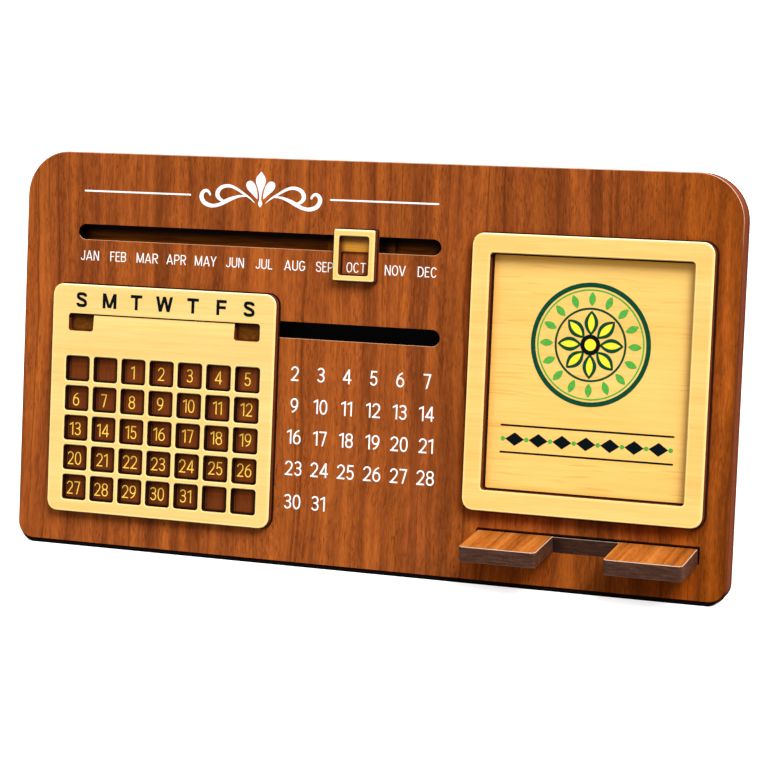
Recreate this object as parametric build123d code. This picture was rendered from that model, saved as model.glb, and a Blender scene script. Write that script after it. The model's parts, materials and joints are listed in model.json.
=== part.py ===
"""Perpetual desk calendar: a leaning laminated board with a sliding month window,
a sliding day grid, a raised picture frame and a U-shaped rest plate, on two rear legs.

World frame: +X to the right seen from the front, +Y to the back, +Z up, millimetres.
Sheets are modelled flat in board coordinates (x, v up the board, n out of its face)
and then placed on the leaning board plane.
"""
import os
from math import sin, cos, radians, tan
from build123d import *

os.makedirs("parts", exist_ok=True)

# ---------------------------------------------------------------- dimensions
LEAN = 10.0                      # board leans back from the vertical, degrees

BOARD_W = 254.0                  # outline of the laminated board
V_LOW, V_HIGH = -67.5, 68.3      # its lower and upper edge
R_TOP, R_BOTTOM = 15.5, 5.8      # corner radii, upper and lower pair
T_FRONT, T_MID, T_BACK = 3.0, 3.0, 1.5
MID_INSET = 0.12                 # middle sheet sits slightly inside the outline
EDGE = 0.30                      # break of the board's front arris
LIP = 0.15                       # break of slot lips

# guide slots in the front sheet: left end, right end, centre height, slot height
MONTH_SLOT = (-106.6, 26.6, 40.7, 5.2)
DATE_SLOT = (-108.4, 27.4, 10.97, 5.4)
# channels behind them: left, right, height
MONTH_CHANNEL = (-115.5, 35.5, 10.8)
DATE_CHANNEL = (-111.0, 30.6, 10.8)

GAP = 0.30                       # running gap between sliders and the board face
BACKING = 0.7                    # rear layer of both sliders
PLATE = 2.5                      # front layer of both sliders
RUN = 0.15                       # side clearance of the guides in their slots
RET_T = 2.4                      # thickness of the retainers
PLATE_EDGE = 0.26                # break of the maple edges
PROUD = 0.38                     # the dark rear layers stand proud of the maple ones by this

# month slider
MS_X0, MS_X1, MS_V0, MS_V1 = -10.05, 4.65, 28.4, 45.5
MW_X0, MW_X1, MW_V0, MW_V1 = -8.15, 2.55, 30.25, 43.3
MW_R = 0.85                      # corner radius of the month window
MB_STRIP_V = 38.2                # lower edge of the strip that bridges the slot
MT_LEN = 9.0                     # guide block length
MR_LEN = 24.0                    # retainer length

# day grid plate
DP_X0, DP_X1, DP_V0, DP_V1, DP_R = -114.1, -29.8, -56.5, 22.6, 3.9
WIN_W, WIN_H, WIN_R = 9.2, 8.7, 1.0
COL0, COL_PITCH, COLS = -103.8, 10.72, 7
ROW0, ROW_PITCH, ROWS = -6.6, -10.33, 5
HOLE_W, HOLE_H, HOLE_R = 9.5, 6.1, 1.0
HOLE_L, HOLE_RT, HOLE_V = -102.95, -40.15, 9.5
SLIT_H = 0.5
TONGUE_DROP = 0.5
RUN_X0, RUN_X1 = -107.6, -35.4   # runner bar
RET_X0, RET_X1 = -109.6, -33.6   # its retainer

# picture frame
PF_X0, PF_X1, PF_V0, PF_V1, PF_R = 38.9, 119.1, -43.9, 46.4, 4.0
PI_X0, PI_X1, PI_V0, PI_V1, PI_R = 45.15, 112.95, -37.0, 40.05, 1.1
PF_FRONT, PF_BACK, PANEL_T = 3.0, 1.5, 0.8
PANEL_IN = 0.55                  # shadow gap between the panel and the frame

# rest plate, horizontal in the world
LG_X = (43.3, 69.3, 91.3, 117.2)   # outer/inner sides of the two ledges
LG_V, LG_OUT, LG_T = -50.7, 19.4, 5.1
LG_WEB = 0.7                     # how far the web between the ledges stands out of the board
LG_GAP = 0.4                     # shadow gap around the plate in the front sheet, top and sides
LG_REAR = 33.0                   # how far it reaches behind the board's back
LG_R = 1.7                       # ledge corner radius

# stand
LEG_X, LEG_T = 80.1, 5.0
LEG_BASE = 62.0                  # depth of the foot line
LEG_V_TOP = 36.0
PAD_T, PAD_L = 1.0, 12.0
TAB_V = ((20.5, 31.5), (-38.0, -24.0))
TAB_LEN = 4.3
FIT = 0.15                       # clearance of cut joints
BRACE_T, BRACE_H = 5.0, 18.0
STRIP_N = (-5.5, -0.35)          # non-slip strip under the board's lower edge, depth range
STRIP_DROP, STRIP_UP = 1.25, 2.2 # its thickness, and how far it climbs the lower corners

# back cover screws
SCREWS = [(-114, 58.5), (-38, 60.5), (38, 60.5), (114, 58.5),
          (-114, -59.5), (-38, -60.5), (34, -61.0), (114, -61.0),
          (-121, -6.0), (121, -6.0)]
HEAD_D, HEAD_T, SHANK_D, SHANK_L = 4.4, 1.1, 2.1, 3.9

# ---------------------------------------------------------------- board plane
C, S = cos(radians(LEAN)), sin(radians(LEAN))
T_ALL = T_FRONT + T_MID + T_BACK
BACK_BREAK = 0.2
Z0 = -V_LOW * C + (T_ALL - BACK_BREAK) * S           # lowest board edge on the table
Y_HEEL = V_LOW * S + T_ALL * C                       # lower back edge, before centring
Y_FRONT = LG_V * S - LG_OUT
Y_REAR = Y_HEEL + LEG_BASE
Y0 = -(Y_FRONT + Y_REAR) / 2                         # centres the depth on the origin
BP = Plane(origin=(0, Y0, Z0), x_dir=(1, 0, 0), z_dir=(0, -C, S))


def on_board(shape):
    return BP.location * shape


def slab(x0, x1, v0, v1, n0, n1, r=0.0):
    """Rounded flat slab in board coordinates."""
    w, h = x1 - x0, v1 - v0
    sk = RectangleRounded(w, h, r) if r > 0 else Rectangle(w, h)
    return Pos((x0 + x1) / 2, (v0 + v1) / 2, n0) * extrude(sk, amount=n1 - n0)


def stadium(x0, x1, vc, h, n0, n1):
    return Pos((x0 + x1) / 2, vc, n0) * extrude(
        RectangleRounded(x1 - x0, h, h / 2 - 1e-3), amount=n1 - n0)


def outline(inset, n0, n1):
    """Board outline with two corner radii, extruded from n0 to n1."""
    w, lo, h = BOARD_W / 2 - inset, V_LOW + inset, V_HIGH - inset
    sk = Polyline((-w, lo), (w, lo), (w, h), (-w, h), close=True)
    face = make_face(sk)
    low = [v for v in face.vertices() if v.Y < 0]
    face = fillet(low, R_BOTTOM - inset)
    top = [v for v in face.vertices() if v.Y > h - 1e-4 and abs(abs(v.X) - w) < 1e-4]
    face = fillet(top, R_TOP - inset)
    return Pos(0, 0, n0) * extrude(face, amount=n1 - n0)


def edges_at(part, n, tol=1e-4):
    """Every edge that lies in the plane n = const."""
    out = []
    for e in part.edges():
        bb = e.bounding_box()
        if abs(bb.min.Z - n) < tol and abs(bb.max.Z - n) < tol:
            out.append(e)
    return ShapeList(out)


def outer_inner(edges, x0, x1, v0, v1, tol=0.05):
    """Split edges into those on an outline box's border and the rest."""
    outer, inner = [], []
    for e in edges:
        bb = e.bounding_box()
        touches = (bb.min.X < x0 + tol or bb.max.X > x1 - tol or
                   bb.min.Y < v0 + tol or bb.max.Y > v1 - tol)
        (outer if touches else inner).append(e)
    return ShapeList(outer), ShapeList(inner)


def save(shape, name):
    shape.label = name
    export_step(shape, "parts/" + name + ".step")


# world-space box cut for the horizontal rest plate
LG_Z1 = Z0 + LG_V * C            # top face
LG_Z0 = LG_Z1 - LG_T
Y_FACE = Y0 + LG_V * S           # board face at the plate's top


def world_box(x0, x1, y0, y1, z0, z1):
    return Pos((x0 + x1) / 2, (y0 + y1) / 2, (z0 + z1) / 2) * Box(x1 - x0, y1 - y0, z1 - z0)


LEDGE_CUT = world_box(LG_X[0] - FIT, LG_X[3] + FIT, Y_FACE - 15, Y_FACE + 25,
                      LG_Z0 - FIT, LG_Z1 + FIT)

LEDGE_CUT_FRONT = world_box(LG_X[0] - LG_GAP, LG_X[3] + LG_GAP, Y_FACE - 15, Y_FACE + 25,
                            LG_Z0 - FIT, LG_Z1 + LG_GAP)

# ---------------------------------------------------------------- laminated board
front = outline(0, -T_FRONT, 0)
front = chamfer(edges_at(front, 0), EDGE)
mx0, mx1, mv, mh = MONTH_SLOT
dx0, dx1, dv, dh = DATE_SLOT
for (a, b, vc, h) in (MONTH_SLOT, DATE_SLOT):
    cut = stadium(a, b, vc, h, -T_FRONT - 1, 1)
    lip = Pos((a + b) / 2, vc, -LIP) * extrude(
        RectangleRounded(b - a, h, h / 2 - 1e-3), amount=LIP, taper=-45)
    front = front - cut - lip
front_w = on_board(front) - LEDGE_CUT_FRONT
save(front_w, "front_board")

mid = outline(MID_INSET, -T_FRONT - T_MID, -T_FRONT)
for (a, b, h), vc in ((MONTH_CHANNEL, mv), (DATE_CHANNEL, dv)):
    mid = mid - slab(a, b, vc - h / 2, vc + h / 2, -T_FRONT - T_MID - 1, -T_FRONT + 1, 1.5)
for lx in (-LEG_X, LEG_X):
    for (v0, v1) in TAB_V:
        mid = mid - slab(lx - LEG_T / 2 - FIT, lx + LEG_T / 2 + FIT, v0 - FIT, v1 + FIT,
                         -T_FRONT - T_MID - 1, -T_FRONT + 1)
for (sx, sv) in SCREWS:
    mid = mid - Pos(sx, sv, -T_FRONT - T_MID) * extrude(Circle(SHANK_D / 2 + 0.05), amount=T_MID - 0.4)
mid_w = on_board(mid) - LEDGE_CUT
save(mid_w, "channel_layer")

back = outline(0, -T_ALL, -T_FRONT - T_MID)
back = chamfer(edges_at(back, -T_ALL), BACK_BREAK)
for lx in (-LEG_X, LEG_X):
    for (v0, v1) in TAB_V:
        back = back - slab(lx - LEG_T / 2 - FIT, lx + LEG_T / 2 + FIT, v0 - FIT, v1 + FIT,
                           -T_ALL - 1, 1)
for (sx, sv) in SCREWS:
    back = back - Pos(sx, sv, -T_ALL - 1) * extrude(Circle(SHANK_D / 2 + 0.2), amount=T_BACK + 2)
back_w = on_board(back) - LEDGE_CUT
save(back_w, "back_cover")

# pan-head screws with a cross recess, driven from behind
screw = Pos(0, 0, -HEAD_T) * Cylinder(HEAD_D / 2, HEAD_T, align=(Align.CENTER, Align.CENTER, Align.MIN))
screw = fillet(edges_at(screw, -HEAD_T), 0.6)
screw = screw + Cylinder(SHANK_D / 2, SHANK_L, align=(Align.CENTER, Align.CENTER, Align.MIN))
screw = screw - Pos(0, 0, -HEAD_T) * Box(2.4, 0.5, 1.2) - Pos(0, 0, -HEAD_T) * Box(0.5, 2.4, 1.2)
# head seats on the cover's rear face, shank points towards the front
screws = []
for i, (sx, sv) in enumerate(SCREWS):
    screws.append(on_board(Pos(sx, sv, -T_ALL) * Rot(0, 0, 17 + 31 * i) * screw))
save(Compound(children=screws), "back_screws")

# ---------------------------------------------------------------- month slider
N1 = GAP + BACKING
N2 = N1 + PLATE
mw = slab(MS_X0, MS_X1, MS_V0, MS_V1, N1, N2, 0.7) - slab(MW_X0, MW_X1, MW_V0, MW_V1, N1 - 1, N2 + 1, MW_R)
mw = chamfer(edges_at(mw, N2), PLATE_EDGE)
save(on_board(mw), "month_window")

mb = slab(MS_X0 - PROUD, MS_X1 + PROUD, MS_V0 - PROUD, MS_V1 + PROUD, GAP, N1, 0.9) - \
    slab(MW_X0 + PROUD, MW_X1 - PROUD, MW_V0 + PROUD, MB_STRIP_V, GAP - 1, N1 + 1, 0.4)
save(on_board(mb), "month_bridge")

mc = (MS_X0 + MS_X1) / 2
mt = stadium(mc - MT_LEN / 2, mc + MT_LEN / 2, mv, mh - 2 * RUN, -T_FRONT - GAP, GAP)
save(on_board(mt), "month_tongue")

mr = slab(mc - MR_LEN / 2, mc + MR_LEN / 2, mv - MONTH_CHANNEL[2] / 2 + 0.3, mv + MONTH_CHANNEL[2] / 2 - 0.3,
          -T_FRONT - GAP - RET_T, -T_FRONT - GAP, 1.2)
save(on_board(mr), "month_retainer")

# ---------------------------------------------------------------- day grid slider
win = Sketch()
centres = [(COL0 + COL_PITCH * c, ROW0 + ROW_PITCH * r) for r in range(ROWS) for c in range(COLS)]
win = Sketch() + [Pos(cx, cv) * RectangleRounded(WIN_W, WIN_H, WIN_R) for cx, cv in centres]
dp = slab(DP_X0, DP_X1, DP_V0, DP_V1, N1, N2, DP_R)
dp = dp - Pos(0, 0, N1 - 1) * extrude(win, amount=PLATE + 2)
# finger holes joined by a thin slit along their upper edge
for hx in (HOLE_L, HOLE_RT):
    dp = dp - slab(hx - HOLE_W / 2, hx + HOLE_W / 2, HOLE_V - HOLE_H / 2, HOLE_V + HOLE_H / 2, N1 - 1, N2 + 1, HOLE_R)
slit_top = HOLE_V + HOLE_H / 2
dp = dp - slab(HOLE_L, HOLE_RT, slit_top - SLIT_H, slit_top, N1 - 1, N2 + 1)
# square the inner upper hole corners off where the slit runs in
for hx, sgn in ((HOLE_L, 1), (HOLE_RT, -1)):
    ex = hx + sgn * (HOLE_W / 2 - HOLE_R / 2)
    dp = dp - slab(ex - HOLE_R / 2 - 0.01, ex + HOLE_R / 2 + 0.01, slit_top - HOLE_R, slit_top, N1 - 1, N2 + 1)
# the tongue under the slit falls away slightly towards the slit
tx0, tx1 = HOLE_L + HOLE_W / 2, HOLE_RT - HOLE_W / 2
ramp = make_face(Polyline((slit_top - SLIT_H / 2, N2 + 1), (slit_top - SLIT_H / 2, N2 - TONGUE_DROP),
                          (slit_top - 4.6, N2), (slit_top - 4.6, N2 + 1), close=True))
ramp = Plane(origin=(tx0 - 0.01, 0, 0), x_dir=(0, 1, 0), z_dir=(1, 0, 0)).location * ramp
dp = dp - extrude(ramp, amount=tx1 - tx0 + 0.02, dir=(1, 0, 0))
top_edges = edges_at(dp, N2)
o_e, i_e = outer_inner(top_edges, DP_X0, DP_X1, DP_V0, DP_V1, tol=DP_R + 0.1)
dp = chamfer(o_e, PLATE_EDGE)
try:
    wins = [e for e in edges_at(dp, N2)
            if e.bounding_box().max.Y < ROW0 + WIN_H / 2 + 0.05 and e.bounding_box().min.X > DP_X0 + 4
            and e.bounding_box().max.X < DP_X1 - 4 and e.bounding_box().min.Y > DP_V0 + 3]
    dp = chamfer(ShapeList(wins), PLATE_EDGE)
except Exception as err:
    print("window breaks skipped:", err)
save(on_board(dp), "date_plate")

win_in = Sketch() + [Pos(cx, cv) * RectangleRounded(WIN_W - 2 * PROUD, WIN_H - 2 * PROUD, WIN_R - 0.2)
                     for cx, cv in centres]
db = slab(DP_X0 - PROUD, DP_X1 + PROUD, DP_V0 - PROUD, DP_V1 + PROUD, GAP, N1, DP_R + PROUD) - \
    Pos(0, 0, GAP - 1) * extrude(win_in, amount=BACKING + 2)
save(on_board(db), "date_backing")

dr = stadium(RUN_X0, RUN_X1, dv, dh - 2 * RUN, -T_FRONT - GAP, GAP)
save(on_board(dr), "date_runner")
dt = slab(RET_X0, RET_X1, dv - DATE_CHANNEL[2] / 2 + 0.3, dv + DATE_CHANNEL[2] / 2 - 0.3,
          -T_FRONT - GAP - RET_T, -T_FRONT - GAP, 1.2)
save(on_board(dt), "date_retainer")

# ---------------------------------------------------------------- picture frame
pf = slab(PF_X0, PF_X1, PF_V0, PF_V1, PF_BACK, PF_BACK + PF_FRONT, PF_R) - \
    slab(PI_X0, PI_X1, PI_V0, PI_V1, 0, 10, PI_R)
pf = chamfer(edges_at(pf, PF_BACK + PF_FRONT), PLATE_EDGE)
save(on_board(pf), "picture_frame")
pb = slab(PF_X0 - PROUD, PF_X1 + PROUD, PF_V0 - PROUD, PF_V1 + PROUD, 0, PF_BACK, PF_R + PROUD) - \
    slab(PI_X0 + PROUD, PI_X1 - PROUD, PI_V0 + PROUD, PI_V1 - PROUD, -1, 10, PI_R - 0.2)
save(on_board(pb), "frame_backing")
pp = slab(PI_X0 + PANEL_IN, PI_X1 - PANEL_IN, PI_V0 + PANEL_IN, PI_V1 - PANEL_IN, 0, PANEL_T, PI_R - PANEL_IN)
save(on_board(pp), "picture_panel")

# ---------------------------------------------------------------- rest plate
y_tip = Y_FACE - LG_OUT
y_mid = Y_FACE - LG_WEB                     # front edge of the web between the ledges
y_back_board = Y0 + Y_HEEL + (LG_Z1) * tan(radians(LEAN))   # board's back at that height
y_end = y_back_board + LG_REAR
xa, xb, xc, xd = LG_X
prof = Polyline((xa, y_tip), (xb, y_tip), (xb, y_mid), (xc, y_mid), (xc, y_tip), (xd, y_tip),
                (xd, y_end), (xa, y_end), close=True)
lf = make_face(prof)
tips = [v for v in lf.vertices() if abs(v.Y - y_tip) < 1e-3]
lf = fillet(tips, LG_R)
ends = [v for v in lf.vertices() if abs(v.Y - y_end) < 1e-3]
lf = fillet(ends, 3.0)
lp = Pos(0, 0, LG_Z0) * extrude(lf, amount=LG_T)
y_lap = y_back_board + LG_REAR / 2          # depth where the leg lap starts
lp = lp - world_box(LEG_X - LEG_T / 2 - FIT, LEG_X + LEG_T / 2 + FIT, y_lap, y_end + 5, LG_Z0 - 1, LG_Z1 + 1)
lp = chamfer(ShapeList([e for e in edges_at(lp, LG_Z1) if e.center().Y < Y_FACE - 0.5]), 0.3)
lp = chamfer(ShapeList([e for e in edges_at(lp, LG_Z0) if e.center().Y < Y_FACE - 1.5]), 0.2)
save(lp, "ledge_plate")

# ---------------------------------------------------------------- legs
GAPB = 0.05                                 # glue line between leg and cover


def back_pt(v, off=0.0):
    """World (y, z) of a point on the board's rear face, pushed back by off."""
    n = -T_ALL - off
    return (Y0 + v * S - n * C, Z0 + v * C + n * S)


z_foot = PAD_T
y_heel = Y0 + Y_HEEL
v_foot = (z_foot - Z0 + (T_ALL + GAPB) * S) / C
A = back_pt(v_foot, GAPB)
B = back_pt(LEG_V_TOP, GAPB)
Cpt = (B[0] + 9.0, B[1] - 1.5)
E = (y_heel + LEG_BASE, z_foot)
D = (E[0], z_foot + 9.0)
Mpt = (y_heel + 37.0, z_foot + 46.0)        # middle of the concave rear edge


def leg(x):
    line = Polyline(D, E, (A[0] + 0.2, z_foot), A, B, Cpt)
    arc = ThreePointArc(Cpt, Mpt, D)
    f = make_face(line + arc)
    rnd = [v for v in f.vertices() if (abs(v.X - Cpt[0]) < 1e-3 and abs(v.Y - Cpt[1]) < 1e-3)
           or (abs(v.X - E[0]) < 1e-3 and abs(v.Y - D[1]) < 1e-3)]
    f = fillet(rnd, 2.5)
    # shallow arch between the pads
    a0, a1 = A[0] + PAD_L + 3, E[0] - PAD_L - 3
    arch = make_face(ThreePointArc((a0, z_foot), ((a0 + a1) / 2, z_foot + 3.5), (a1, z_foot)) +
                     Line((a1, z_foot), (a0, z_foot)))
    f = f - arch
    body = Plane(origin=(x - LEG_T / 2, 0, 0), x_dir=(0, 1, 0), z_dir=(1, 0, 0)).location * f
    body = extrude(body, amount=LEG_T, dir=(1, 0, 0))
    # tabs into the board
    for (v0, v1) in TAB_V:
        tab = slab(x - LEG_T / 2, x + LEG_T / 2, v0, v1, -T_ALL - 2.0, -T_ALL + TAB_LEN)
        body = body + on_board(tab)
    if x > 0:   # lap over the rest plate
        body = body - world_box(x - 10, x + 10, y_heel - 30, y_lap + FIT, LG_Z0 - FIT, LG_Z1 + FIT)
    # mortise for the cross brace's tenon
    body = body - world_box(x - 10, x + 10, y_br - FIT, y_br + BRACE_T + FIT, z_tn0 - FIT, z_tn1 + FIT)
    return body


y_br = y_end + 2.0
z_br0 = z_foot + 7.0
z_tn0, z_tn1 = z_br0 + 4.0, z_br0 + BRACE_H - 4.0     # tenon, lower and upper side
leg_l = leg(-LEG_X)
leg_r = leg(LEG_X)
save(leg_l, "leg_left")
save(leg_r, "leg_right")

x_in = LEG_X - LEG_T / 2 - GAPB
br = world_box(-x_in, x_in, y_br, y_br + BRACE_T, z_br0, z_br0 + BRACE_H)
for sgn in (-1, 1):
    x_out = LEG_X + LEG_T / 2 + 4.0
    tenon = world_box(min(sgn * (x_in - 1), sgn * x_out), max(sgn * (x_in - 1), sgn * x_out),
                      y_br, y_br + BRACE_T, z_tn0, z_tn1)
    tip_edges = [e for e in tenon.edges().filter_by(Axis.Y) if abs(abs(e.center().X) - x_out) < 1e-3]
    br = br + fillet(ShapeList(tip_edges), 2.0)
save(br, "leg_brace")

# ---------------------------------------------------------------- foot pads
for nm, x in (("left", -LEG_X), ("right", LEG_X)):
    for pos, y0 in (("front", A[0] + 1.0), ("rear", E[0] - PAD_L - 0.8)):
        pad = Pos(x, y0 + PAD_L / 2, 0) * extrude(RectangleRounded(LEG_T - 0.2, PAD_L, 1.2), amount=PAD_T)
        save(pad, "pad_" + nm + "_" + pos)

# ---------------------------------------------------------------- strip under the board
# fills the gap between the leaning board's lower edge and the table, and follows
# the edge a little way up both lower corners
edge_run = outline(0, *STRIP_N)
strip = Pos(0, -STRIP_DROP, 0) * edge_run - edge_run
strip = strip & slab(-BOARD_W, BOARD_W, V_LOW - 5, V_LOW + STRIP_UP, STRIP_N[0] - 1, STRIP_N[1] + 1)
strip = on_board(strip) & world_box(-BOARD_W, BOARD_W, -100, 100, 0, 20)
save(strip, "base_strip")

print("Y0 %.4f Z0 %.4f  ledge z %.3f..%.3f y_face %.3f tip %.3f end %.3f heel %.3f brace y %.3f"
      % (Y0, Z0, LG_Z0, LG_Z1, Y_FACE, y_tip, y_end, y_heel, y_br))
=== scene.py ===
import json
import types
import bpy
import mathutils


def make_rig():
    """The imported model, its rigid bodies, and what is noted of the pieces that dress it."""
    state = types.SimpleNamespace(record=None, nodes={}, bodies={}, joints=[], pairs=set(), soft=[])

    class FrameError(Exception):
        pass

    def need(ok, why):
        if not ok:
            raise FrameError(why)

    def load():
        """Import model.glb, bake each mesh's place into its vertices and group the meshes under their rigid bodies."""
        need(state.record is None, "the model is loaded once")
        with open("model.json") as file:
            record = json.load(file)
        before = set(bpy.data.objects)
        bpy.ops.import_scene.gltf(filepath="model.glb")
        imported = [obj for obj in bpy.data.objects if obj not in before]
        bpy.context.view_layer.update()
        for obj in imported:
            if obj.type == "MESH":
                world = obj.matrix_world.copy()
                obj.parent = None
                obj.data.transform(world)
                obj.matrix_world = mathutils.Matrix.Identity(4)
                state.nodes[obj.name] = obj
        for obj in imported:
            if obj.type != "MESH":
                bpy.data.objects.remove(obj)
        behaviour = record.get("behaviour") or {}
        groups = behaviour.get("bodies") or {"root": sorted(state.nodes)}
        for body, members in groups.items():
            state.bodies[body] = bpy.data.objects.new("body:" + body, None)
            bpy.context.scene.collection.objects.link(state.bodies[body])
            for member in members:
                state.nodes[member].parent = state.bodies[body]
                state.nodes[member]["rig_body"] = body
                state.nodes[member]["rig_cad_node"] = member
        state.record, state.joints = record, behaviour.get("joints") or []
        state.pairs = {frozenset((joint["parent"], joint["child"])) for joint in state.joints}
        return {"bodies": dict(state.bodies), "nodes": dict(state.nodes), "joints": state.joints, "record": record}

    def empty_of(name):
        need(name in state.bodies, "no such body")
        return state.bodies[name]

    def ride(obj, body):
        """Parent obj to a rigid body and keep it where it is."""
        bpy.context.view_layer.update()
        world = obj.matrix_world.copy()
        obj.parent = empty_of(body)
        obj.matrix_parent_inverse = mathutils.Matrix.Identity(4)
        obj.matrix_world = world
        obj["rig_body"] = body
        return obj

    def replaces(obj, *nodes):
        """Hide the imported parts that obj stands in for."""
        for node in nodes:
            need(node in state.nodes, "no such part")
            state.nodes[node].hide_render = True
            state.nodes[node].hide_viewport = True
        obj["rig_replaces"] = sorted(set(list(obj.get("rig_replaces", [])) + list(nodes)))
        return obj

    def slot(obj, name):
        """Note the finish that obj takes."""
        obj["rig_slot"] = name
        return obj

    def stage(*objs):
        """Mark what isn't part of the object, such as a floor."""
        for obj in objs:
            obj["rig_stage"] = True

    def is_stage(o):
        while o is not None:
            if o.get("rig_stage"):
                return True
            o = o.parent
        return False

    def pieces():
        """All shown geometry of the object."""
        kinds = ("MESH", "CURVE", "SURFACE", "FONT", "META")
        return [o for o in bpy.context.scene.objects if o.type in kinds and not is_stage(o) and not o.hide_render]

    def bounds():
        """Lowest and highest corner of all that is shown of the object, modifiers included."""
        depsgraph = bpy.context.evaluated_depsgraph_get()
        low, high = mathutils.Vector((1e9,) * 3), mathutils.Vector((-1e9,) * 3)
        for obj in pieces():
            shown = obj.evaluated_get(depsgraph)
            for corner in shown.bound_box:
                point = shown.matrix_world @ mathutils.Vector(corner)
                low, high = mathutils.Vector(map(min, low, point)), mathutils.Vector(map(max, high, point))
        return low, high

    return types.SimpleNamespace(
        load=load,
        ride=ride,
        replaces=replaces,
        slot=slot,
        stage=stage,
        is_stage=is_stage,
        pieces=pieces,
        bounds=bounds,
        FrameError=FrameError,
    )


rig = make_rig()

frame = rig.load()
CAD_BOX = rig.bounds()

import bpy, bmesh, json, math, random
from math import sin, cos, radians, pi
from mathutils import Vector, Matrix
from mathutils.geometry import delaunay_2d_cdt

NODES = frame["nodes"]
LEAN = radians(10.0)
CL, SL = cos(LEAN), sin(LEAN)

# ------------------------------------------------------------------ the board plane
# origin of the board frame (x, v up the board, n out of its face), in millimetres
Y0, Z0 = -14.7304, 67.7422


def bw(x, v, n):
    """Board coordinates in mm to world metres."""
    return Vector((x, Y0 + v * SL - n * CL, Z0 + v * CL + n * SL)) / 1000.0


# ------------------------------------------------------------------ node helper
def srgb(r, g, b):
    def f(c):
        c = c / 255.0
        return c / 12.92 if c <= 0.04045 else ((c + 0.055) / 1.055) ** 2.4
    return (f(r), f(g), f(b), 1.0)


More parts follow.
